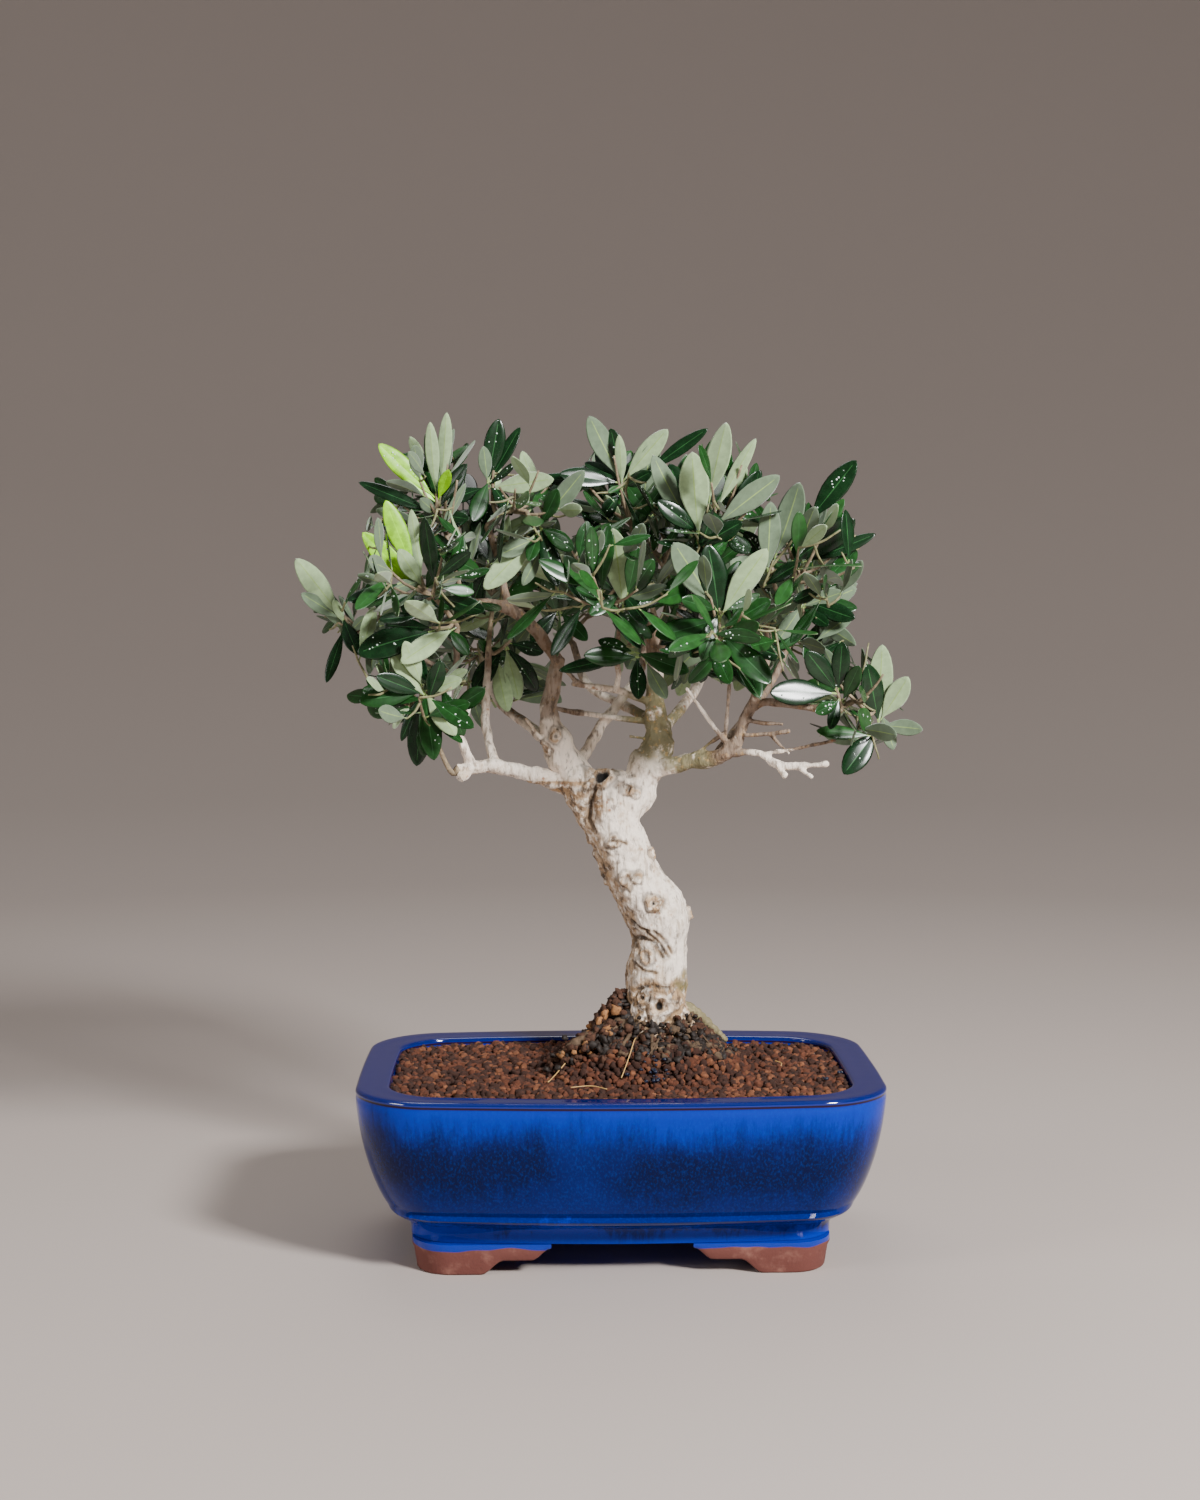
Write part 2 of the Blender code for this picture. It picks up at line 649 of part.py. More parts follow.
def leaf_points(leaf):
    """Points of a leaf that have to keep to the space: along its middle and edges."""
    root, heading, normal, length = leaf
    across = heading.cross(normal) * length * LEAF_WIDTH_SHARE / 2
    quarter, middle, late, tip = [root + heading * length * t for t in (0.25, 0.5, 0.75, 1.0)]
    edges = [middle + across, middle - across, late + across * 0.8, late - across * 0.8]
    return [quarter, middle, late, tip] + edges


def leaf_tree(leaf, start=0.0):
    """Search tree of a leaf from a share of its length on, to find what it would cut."""
    points, faces = leaf_solid(leaf, start)
    return BVHTree.FromPolygons(points, faces)


def twig_rings(path):
    """Rings of a three-sided twig."""
    return tube_rings(path, TWIG_SIDES)


def twig_tree(rings):
    """Search tree of a twig."""
    points = [p for ring in rings for p in ring]
    faces = []
    for i in range(len(rings) - 1):
        for j in range(TWIG_SIDES):
            k = (j + 1) % TWIG_SIDES
            low = TWIG_SIDES * i
            high = low + TWIG_SIDES
            faces.append((low + j, low + k, high + k, high + j))
    return BVHTree.FromPolygons(points, faces)


def grow_shoots(name, obstacles, rng):
    """Shoots of one mass, which leave its stem and fan out by the golden angle."""
    centre, reach, count = MASSES[name][1:4]
    stem = stem_path(name)
    start = Vector(stem[1][:3])
    middle = Vector(centre)
    outward = (middle - CROWN_CENTRE).normalized()
    turn = rng.uniform(0, 2 * math.pi)
    shoots = []
    for k in range(count):
        azimuth = turn + k * GOLDEN_ANGLE
        level = SHOOT_LOWEST + (SHOOT_HIGHEST - SHOOT_LOWEST) * (k + rng.uniform(0.2, 0.8)) / count
        flat = math.sqrt(1 - level * level)
        spread = Vector((math.cos(azimuth) * flat, math.sin(azimuth) * flat, level))
        heading = (spread + outward * OUTWARD_PULL).normalized()
        share = rng.uniform(*SHOOT_START) + SHOOT_CLIMB * k / count
        leave = nearest_on_path(start.lerp(middle, share), stem)
        far = Vector([h * r for h, r in zip(heading, reach)])
        span = middle + far * rng.uniform(*SHOOT_REACH) - leave
        direction = span.normalized()
        upward = (direction + Vector((0, 0, UPWARD_BEND))).normalized()
        face = direction.orthogonal().normalized()
        face.rotate(Matrix.Rotation(rng.uniform(0, math.pi), 3, direction))
        for shorter in SHOOT_TRIES:
            half = span.length * shorter / 2
            knee = leave + direction * half
            tip = knee + upward * half
            radii = (SHOOT_RADIUS, SHOOT_RADIUS, SHOOT_RADIUS * SHOOT_TAPER)
            path = [(*p, radius) for p, radius in zip((leave, knee, tip), radii)]
            if keeps_to_space(tip, name) and not crosses(twig_tree(twig_rings(path)), obstacles):
                shoots.append((path, face))
                break
    return shoots


def shoot_nodes(path, face):
    """Places along a shoot where a pair of leaves stands, with its axis, side and share there."""
    leave, knee, tip = [Vector(p[:3]) for p in path]
    lower = (knee - leave).normalized()
    upper = (tip - knee).normalized()
    length = (knee - leave).length + (tip - knee).length
    pairs = max(2, min(PAIRS_PER_SHOOT, round(length * (1 - BARE_SHARE) / NODE_SPACING) + 1))
    nodes = []
    for pair in range(pairs):
        reached = pair / (pairs - 1)
        share = BARE_SHARE + (LAST_NODE_SHARE - BARE_SHARE) * reached
        axis = lower if share < 0.5 else upper
        place = leave.lerp(knee, share * 2) if share < 0.5 else knee.lerp(tip, share * 2 - 1)
        side = (face - axis * face.dot(axis)).normalized()
        if pair % 2:
            side = axis.cross(side)
        nodes.append((place, axis, side, reached))
    return nodes


def grow_leaf(place, axis, side, share, rng):
    """Choices for one leaf, from its full size down and turned this way and that."""
    spread = rng.uniform(-OPENING_SPREAD, OPENING_SPREAD)
    opening = math.radians(OPENING_FIRST - OPENING_FALL * share + spread)
    size = LEAF_LENGTH * (1.0 - LEAF_FALL * abs(share - LONGEST_AT)) * rng.uniform(*LEAF_SPREAD)
    lift = LEAF_LIFT * rng.random()
    choices = []
    for shorter, wider_by, turn in LEAF_CHOICES:
        turned = side.copy()
        turned.rotate(Matrix.Rotation(turn, 3, axis))
        angle = opening + wider_by
        aim = axis * math.cos(angle) + turned * math.sin(angle) + Vector((0, 0, lift))
        aim.normalize()
        normal = (axis - aim * axis.dot(aim)).normalized()
        choices.append((place, aim, normal, size * shorter))
    return choices


def grow_mass(name, obstacles):
    """Twigs and leaves of one mass by a seeded rule."""
    rng = random.Random(MASSES[name][-1])
    shoots = grow_shoots(name, obstacles, rng)
    twigs = [twig_rings(stem_path(name))] + [twig_rings(path) for path, face in shoots]
    grown = [twig_tree(rings) for rings in twigs]
    leaves = []
    for path, face in shoots:
        for place, axis, side, share in shoot_nodes(path, face):
            for flip in (1, -1):
                for leaf in grow_leaf(place, axis, side * flip, share, rng):
                    if not all(keeps_to_space(p, name) for p in leaf_points(leaf)):
                        continue
                    blade = leaf_tree(leaf, BLADE_START)
                    if crosses(leaf_tree(leaf), obstacles) or crosses(blade, grown):
                        continue
                    grown.append(blade)
                    leaves.append(leaf)
                    break
    return twigs, leaves


def nearest_on_path(point, path):
    """Point of a path's axis that lies nearest to a point."""
    best = None
    for a, b in zip(path, path[1:]):
        start, end = Vector(a[:3]), Vector(b[:3])
        along = end - start
        t = min(max((point - start).dot(along) / along.length_squared, 0.0), 1.0)
        candidate = start + along * t
        if best is None or (candidate - point).length < (best - point).length:
            best = candidate
    return best


def leaf_solid(leaf, start=0.0):
    """Points and faces of a thin closed leaf: a root in the twig, a keeled middle and a tip."""
    root, heading, normal, length = leaf
    across = heading.cross(normal)
    half = length * LEAF_WIDTH_SHARE / 2
    grown = start / LEAF_WIDEST
    stations = (
        (start * length, LEAF_ROOT_WIDTH / 2 * (1 - grown) + half * grown, LEAF_ROOT_DEPTH),
        (LEAF_WIDEST * length, half, LEAF_THICKNESS),
    )
    points = []
    for along, wide, thick in stations:
        middle = root + heading * along
        points += [middle + across * wide, middle - across * wide, middle - normal * thick]
    points.append(root + heading * length)
    faces = [(0, 2, 1), (0, 1, 4, 3), (1, 2, 5, 4), (2, 0, 3, 5), (3, 4, 6), (4, 5, 6), (5, 3, 6)]
    return points, faces


def leaf_mesh(leaf):
    """Mesh of one leaf."""
    points, faces = leaf_solid(leaf)
    bm = bmesh.new()
    corners = [bm.verts.new(p) for p in points]
    for face in faces:
        bm.faces.new([corners[i] for i in face])
    return bm


def keep_outer_body(obj):
    """Keep a mesh's largest body, which fills hollows that fusing sealed and drops scraps."""
    bm = bmesh.new()
    bm.from_mesh(obj.data)
    bodies = []
    unseen = set(bm.verts)
    while unseen:
        body = set()
        front = [unseen.pop()]
        while front:
            vertex = front.pop()
            body.add(vertex)
            near = {edge.other_vert(vertex) for edge in vertex.link_edges} & unseen
            unseen -= near
            front.extend(near)
        bodies.append(body)
    largest = max(bodies, key=len)
    bmesh.ops.delete(bm, geom=[v for v in bm.verts if v not in largest], context="VERTS")
    bm.to_mesh(obj.data)
    bm.free()


def is_closed(mesh):
    """Whether every edge of a mesh is shared by just two faces."""
    bm = bmesh.new()
    bm.from_mesh(mesh)
    closed = all(edge.is_manifold for edge in bm.edges)
    bm.free()
    return closed


def join_pieces(mass, pieces):
    """Fuse a collection's pieces to a mass, by the second solver where the first leaves a hole."""
    union = mass.modifiers.new("join", "BOOLEAN")
    union.operation = "UNION"
    union.operand_type = "COLLECTION"
    union.collection = pieces
    stem = mass.data
    for solver in ("EXACT", "MANIFOLD"):
        union.solver = solver
        graph = bpy.context.evaluated_depsgraph_get()
        fused = bpy.data.meshes.new_from_object(mass.evaluated_get(graph))
        if is_closed(fused):
            break
    mass.modifiers.clear()
    mass.data = fused
    bpy.data.meshes.remove(stem)


def build_mass(name, obstacles):
    """One mass: its stem, twigs and leaves joined to one body."""
    twigs, leaves = grow_mass(name, obstacles)
    mass = new_object(name, loft(twigs[0]))
    pieces = bpy.data.collections.new(name + "_pieces")
    bpy.context.scene.collection.children.link(pieces)
    meshes = [loft(rings) for rings in twigs[1:]] + [leaf_mesh(leaf) for leaf in leaves]
    for bm in meshes:
        piece = new_object("piece", bm)
        bpy.context.scene.collection.objects.unlink(piece)
        pieces.objects.link(piece)
    join_pieces(mass, pieces)
    for piece in list(pieces.objects):
        bpy.data.objects.remove(piece, do_unlink=True)
    bpy.data.collections.remove(pieces)
    keep_outer_body(mass)
    finish(mass, LEAF, 0.5)
    return mass


def tree_of(bm):
    """Search tree of a bmesh, which is then dropped."""
    tree = BVHTree.FromBMesh(bm)
    bm.free()
    return tree


def build_foliage():
    """Every mass of foliage in its own space, clear of the limbs and of the other masses' stems."""
    limbs = [tree_of(trunk_mesh(LIMB_CLEARANCE))]
    limbs += [tree_of(bough_mesh(name, LIMB_CLEARANCE)) for name in BOUGHS]
    stems = {name: tree_of(loft(tube_rings(stem_path(name), TWIG_SIDES, LIMB_CLEARANCE))) for name in MASSES}
    for name in MASSES:
        build_mass(name, limbs + [tree for other, tree in stems.items() if other != name])


def centre_on_origin():
    """Move everything so that the whole stands over the origin."""
    corners = [obj.matrix_world @ v.co for obj in bpy.data.objects for v in obj.data.vertices]
    middle_x = (min(c.x for c in corners) + max(c.x for c in corners)) / 2
    middle_y = (min(c.y for c in corners) + max(c.y for c in corners)) / 2
    for obj in bpy.data.objects:
        obj.data.transform(Matrix.Translation((-middle_x, -middle_y, 0.0)))


def main():
    clear_scene()
    build_pot()
    for side, sign_x in (("left", -1), ("right", 1)):
        for end, sign_y in (("front", -1), ("back", 1)):
            build_foot(f"foot_{end}_{side}", sign_x, sign_y)
    build_grit()
    build_trunk()
    build_boughs()
    build_roots()
    build_foliage()
    centre_on_origin()


main()
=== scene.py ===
"""Potted olive bonsai: glaze, clay, grit, bark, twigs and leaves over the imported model."""

import math
import random

import bmesh
import bpy
import numpy as np
from bpy.props import FloatProperty, FloatVectorProperty, IntProperty, PointerProperty
from mathutils import Matrix, Vector, noise
from mathutils.bvhtree import BVHTree


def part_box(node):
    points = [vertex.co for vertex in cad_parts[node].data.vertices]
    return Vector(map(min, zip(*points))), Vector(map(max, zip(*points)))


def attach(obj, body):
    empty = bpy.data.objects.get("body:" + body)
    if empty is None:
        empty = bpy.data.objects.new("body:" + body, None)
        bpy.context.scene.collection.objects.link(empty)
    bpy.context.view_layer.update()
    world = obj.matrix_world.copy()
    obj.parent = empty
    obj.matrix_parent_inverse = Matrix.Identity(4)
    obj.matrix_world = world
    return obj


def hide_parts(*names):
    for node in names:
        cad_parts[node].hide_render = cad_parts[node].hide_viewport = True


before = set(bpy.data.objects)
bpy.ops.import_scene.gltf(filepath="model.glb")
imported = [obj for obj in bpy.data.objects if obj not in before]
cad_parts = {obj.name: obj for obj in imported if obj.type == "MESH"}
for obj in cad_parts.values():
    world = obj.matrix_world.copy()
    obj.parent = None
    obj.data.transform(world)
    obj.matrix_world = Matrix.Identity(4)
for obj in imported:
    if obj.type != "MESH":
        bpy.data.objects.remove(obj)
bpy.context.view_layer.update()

bl_info = {
    "name": "Olive bonsai dressing",
    "version": (1, 0, 0),
    "blender": (4, 5, 0),
    "location": "View3D > Sidebar > Bonsai",
    "description": "Dresses the packed model of a potted olive bonsai",
    "category": "Object",
}

POT_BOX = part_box("pot")
# Everything below is worked out from the middle of the pot and then moved to its place
PLACE = Vector(((POT_BOX[0][0] + POT_BOX[1][0]) / 2, (POT_BOX[0][1] + POT_BOX[1][1]) / 2, 0.0))
MM = 0.001

# Pot, as in the part's source
POT_WIDTH = 0.210
POT_DEPTH = 0.143
POT_TOP = 0.073
POT_UNDERSIDE = 0.0127
POT_CORNER = 0.027
POT_CORNER_LEAST = 0.012
POT_CORNER_SHRINK = 0.6
FRONT_BOW = 0.007
SIDE_BOW = 0.0015
LIP_WIDTH = 0.013
FRONT_LIP_TRIM = 0.0030
LIP_ROUND = 0.0015
LIP_DROP = 0.012
BELLY_INSET = 0.0188
BELLY_FOOT = 0.0195
BELLY_POWER = 1.7
UNDERSIDE_INSET = 0.0216
SKIRT_INSET = 0.0208
SKIRT_TOP = 0.0165
WALL = 0.009
FLOOR_TOP = 0.022

# Feet
FOOT_INSET = 0.0015
FOOT_CORNER = 0.016
FOOT_LEAN = 0.002
FOOT_WALL = 0.009
FOOT_FRONT_REACH = 0.055
FOOT_SIDE_REACH = 0.034
FOOT_PAD_SHARE = 0.50
FOOT_STEP_SHARE = 0.86
FOOT_STEP_HEIGHT = 0.0058
FOOT_STEP_RUN = 0.16
FOOT_END_THICKNESS = 0.0015
GAP = 0.0003

# Grit
GRIT_EDGE = 0.0695
GRIT_PAD = 0.084
GRIT_DOME = 0.002
MOUND_LEFT = 0.054
MOUND_RIGHT = 0.040
MOUND_DEPTH = 0.046
PAD_RADIUS = 0.0205

# Trunk stations: place of the axis and radius
TRUNK = (
    (0.0160, 0.004, 0.0843, 0.0168),
    (0.0153, 0.004, 0.0960, 0.0128),
    (0.0158, 0.004, 0.1100, 0.0124),
    (0.0166, 0.004, 0.1235, 0.0112),
    (0.0158, 0.004, 0.1340, 0.0127),
    (0.0067, 0.002, 0.1490, 0.0110),
    (0.0016, 0.001, 0.1620, 0.0106),
    (-0.0035, 0.000, 0.1740, 0.0106),
    (-0.0050, 0.000, 0.1870, 0.0096),
)
FLARE_LOBES = 5
FLARE_DEPTH = 0.0028
FLARE_HEIGHT = 0.007

# Boughs: stations as for the trunk
BOUGHS = {
    "bough_centre_left": (
        (-0.0050, 0.000, 0.1680, 0.0080),
        (-0.0206, 0.000, 0.1950, 0.0071),
        (-0.0254, -0.002, 0.2061, 0.0056),
        (-0.0282, -0.004, 0.2196, 0.0036),
        (-0.0243, -0.004, 0.2397, 0.0028)),
    "bough_centre_left_tip": (
        (-0.0245, -0.004, 0.2380, 0.0027),
        (-0.0342, -0.006, 0.2510, 0.0026),
        (-0.0450, -0.008, 0.2594, 0.0024),
        (-0.0590, -0.008, 0.2618, 0.0018)),
    "bough_top_left": (
        (-0.0440, -0.008, 0.2590, 0.0018),
        (-0.0480, -0.002, 0.2760, 0.0015),
        (-0.0520, 0.002, 0.2900, 0.0013)),
    "bough_left": (
        (-0.0170, 0.000, 0.1850, 0.0040),
        (-0.0254, -0.002, 0.1893, 0.0036),
        (-0.0380, -0.005, 0.1930, 0.0031),
        (-0.0500, -0.008, 0.1961, 0.0027),
        (-0.0650, -0.012, 0.1950, 0.0022)),
    "bough_left_riser": (
        (-0.0595, -0.010, 0.1960, 0.0019),
        (-0.0638, -0.014, 0.2094, 0.0017),
        (-0.0684, -0.018, 0.2240, 0.0015),
        (-0.0650, -0.020, 0.2370, 0.0014),
        (-0.0647, -0.022, 0.2500, 0.0012)),
    "bough_left_out": (
        (-0.0660, -0.020, 0.2330, 0.0013),
        (-0.0800, -0.018, 0.2400, 0.0012),
        (-0.0950, -0.014, 0.2450, 0.0010)),
    "bough_left_brown": (
        (-0.0500, -0.008, 0.1960, 0.0020),
        (-0.0537, 0.000, 0.2117, 0.0018),
        (-0.0538, 0.004, 0.2219, 0.0017),
        (-0.0527, 0.006, 0.2428, 0.0014)),
    "bough_diagonal": (
        (-0.0190, 0.002, 0.1920, 0.0027),
        (-0.0086, 0.008, 0.2087, 0.0023),
        (-0.0003, 0.012, 0.2195, 0.0022),
        (0.0092, 0.016, 0.2330, 0.0018),
        (0.0120, 0.022, 0.2450, 0.0015)),
    "bough_right": (
        (-0.0020, 0.000, 0.1700, 0.0080),
        (0.0107, 0.002, 0.1936, 0.0074),
        (0.0162, 0.004, 0.2044, 0.0062),
        (0.0156, 0.006, 0.2150, 0.0045),
        (0.0150, 0.009, 0.2323, 0.0034),
        (0.0140, 0.004, 0.2560, 0.0024)),
    "bough_top_right": (
        (0.0150, 0.008, 0.2380, 0.0020),
        (0.0220, -0.008, 0.2520, 0.0017),
        (0.0280, -0.022, 0.2680, 0.0014)),
    "bough_centre_cut": (
        (0.0150, 0.007, 0.2200, 0.0016),
        (0.0050, 0.004, 0.2240, 0.0015),
        (-0.0015, 0.002, 0.2262, 0.0014),
        (-0.0190, -0.008, 0.2292, 0.0013)),
    "bough_centre_riser": (
        (-0.0007, 0.002, 0.2265, 0.0012),
        (-0.0003, -0.004, 0.2337, 0.0012),
        (-0.0016, -0.015, 0.2440, 0.0011),
        (0.0000, -0.028, 0.2550, 0.0010)),
    "bough_right_branch": (
        (0.0119, 0.000, 0.1937, 0.0046),
        (0.0254, -0.005, 0.1968, 0.0036),
        (0.0397, -0.011, 0.2000, 0.0032),
        (0.0468, -0.014, 0.2062, 0.0028)),
    "bough_right_up": (
        (0.0462, -0.014, 0.2050, 0.0025),
        (0.0500, -0.016, 0.2160, 0.0022),
        (0.0537, -0.021, 0.2264, 0.0019),
        (0.0483, -0.028, 0.2380, 0.0014)),
    "bough_right_out": (
        (0.0515, -0.017, 0.2195, 0.0018),
        (0.0577, -0.020, 0.2223, 0.0018),
        (0.0658, -0.022, 0.2214, 0.0016),
        (0.0830, -0.024, 0.2190, 0.0014)),
    "bough_right_upper": (
        (0.0530, -0.020, 0.2250, 0.0015),
        (0.0590, -0.014, 0.2400, 0.0014),
        (0.0580, -0.018, 0.2540, 0.0012)),
    "bough_right_low": (
        (0.0435, -0.013, 0.2015, 0.0018),
        (0.0552, -0.018, 0.2016, 0.0016),
        (0.0642, -0.024, 0.1972, 0.0014),
        (0.0812, -0.030, 0.1986, 0.0012)),
    "bough_right_back": (
        (0.0380, -0.010, 0.1995, 0.0022),
        (0.0520, 0.004, 0.2150, 0.0019),
        (0.0640, 0.012, 0.2300, 0.0016),
        (0.0700, 0.015, 0.2430, 0.0013)),
    "bough_back_left": (
        (-0.0240, 0.000, 0.2020, 0.0026),
        (-0.0370, 0.016, 0.2110, 0.0023),
        (-0.0490, 0.030, 0.2200, 0.0019),
        (-0.0560, 0.044, 0.2360, 0.0015)),
    "bough_back_centre": (
        (0.0150, 0.006, 0.2130, 0.0024),
        (0.0020, 0.024, 0.2190, 0.0021),
        (-0.0120, 0.036, 0.2270, 0.0018),
        (-0.0180, 0.050, 0.2440, 0.0015)),
    "bough_back_right": (
        (0.0158, 0.005, 0.2080, 0.0028),
        (0.0260, 0.022, 0.2170, 0.0023),
        (0.0360, 0.038, 0.2290, 0.0019),
        (0.0420, 0.050, 0.2440, 0.0015)),
}

# Surface roots: stations as for the trunk
ROOTS = {
    "root_right": (
        (0.0200, 0.006, 0.0960, 0.0040),
        (0.0310, 0.010, 0.0925, 0.0026),
        (0.0390, 0.014, 0.0855, 0.0019),
        (0.0450, 0.018, 0.0790, 0.0013)),
    "root_left": (
        (0.0100, 0.000, 0.0900, 0.0048),
        (-0.0030, -0.004, 0.0880, 0.0034),
        (-0.0150, -0.009, 0.0845, 0.0022),
        (-0.0240, -0.012, 0.0795, 0.0014)),
}

# Foliage: bough whose tip carries the mass, centre and reach of its space, shoots and seed
CROWN_CENTRE = Vector((0.0, 0.0, 0.238))
MASSES = {
    "foliage_left_low": ("bough_left", (-0.0820, -0.026, 0.2240), (0.0350, 0.040, 0.0300), 6, 11),
    "foliage_left_upper": ("bough_left_riser", (-0.0790, -0.030, 0.2680), (0.0380, 0.042, 0.0340), 6, 12),
    "foliage_left_tip": ("bough_left_out", (-0.1040, -0.006, 0.2520), (0.0290, 0.034, 0.0310), 5, 13),
    "foliage_left_top": ("bough_centre_left_tip", (-0.0730, -0.006, 0.3000), (0.037, 0.042, 0.039), 6, 14),
    "foliage_top_left": ("bough_top_left", (-0.0370, -0.008, 0.2980), (0.0400, 0.044, 0.0400), 7, 15),
    "foliage_top_centre": ("bough_right", (0.0020, 0.000, 0.3010), (0.0400, 0.044, 0.0380), 7, 16),
    "foliage_top_right": ("bough_top_right", (0.0400, -0.030, 0.2950), (0.0400, 0.042, 0.0400), 7, 17),
    "foliage_centre": ("bough_centre_riser", (-0.0080, -0.048, 0.2620), (0.0420, 0.040, 0.0360), 7, 18),
    "foliage_right_front": ("bough_right_up", (0.0360, -0.056, 0.2500), (0.0390, 0.040, 0.0350), 6, 19),
    "foliage_right_upper": ("bough_right_upper", (0.0720, -0.028, 0.2740), (0.0380, 0.042, 0.0400), 6, 20),
    "foliage_right_mid": ("bough_right_back", (0.0780, 0.020, 0.2600), (0.0360, 0.042, 0.0370), 6, 21),
    "foliage_right_low": ("bough_right_out", (0.0950, -0.018, 0.2220), (0.0320, 0.040, 0.0330), 6, 22),
    "foliage_left_rear": ("bough_left_brown", (-0.0500, 0.030, 0.2720), (0.0400, 0.040, 0.0360), 6, 23),
    "foliage_back_left": ("bough_back_left", (-0.0540, 0.066, 0.2400), (0.0420, 0.038, 0.0350), 6, 24),
    "foliage_back_centre": ("bough_back_centre", (-0.0060, 0.070, 0.2580), (0.0400, 0.038, 0.0400), 6, 25),
    "foliage_back_right": ("bough_back_right", (0.0440, 0.066, 0.2480), (0.0420, 0.038, 0.0380), 6, 26),
    "foliage_top_rear": ("bough_diagonal", (0.0220, 0.032, 0.2860), (0.0420, 0.042, 0.0400), 6, 27),
}
STEM_STRAIGHT = 0.003
STEM_ARCH = 0.002
BARE_SHARE = 0.30
LAST_NODE_SHARE = 0.95
SHOOT_LOWEST = -0.45
SHOOT_HIGHEST = 0.95
SHOOT_REACH = (0.30, 0.60)
SHOOT_START = (0.50, 0.75)
SHOOT_CLIMB = 0.25
OUTWARD_PULL = 0.3
UPWARD_BEND = 0.35
GOLDEN_ANGLE = math.radians(137.5)
LEAF_SPREAD = (0.72, 1.28)
LEAF_FALL = 0.25
LONGEST_AT = 0.6
LEAF_LIFT = 0.12
OPENING_FIRST = 60
OPENING_FALL = 32
OPENING_SPREAD = 8
LEAF_CHOICES = (
    (1.0, 0.0, 0.0), (0.95, 0.0, 0.35), (0.95, 0.0, -0.35), (0.9, 0.25, 0.0), (0.9, -0.25, 0.0),
    (0.8, 0.2, 0.5), (0.8, 0.2, -0.5), (0.7, 0.35, 0.0), (0.65, 0.0, 0.0))
SPACE_MARGIN = 0.015

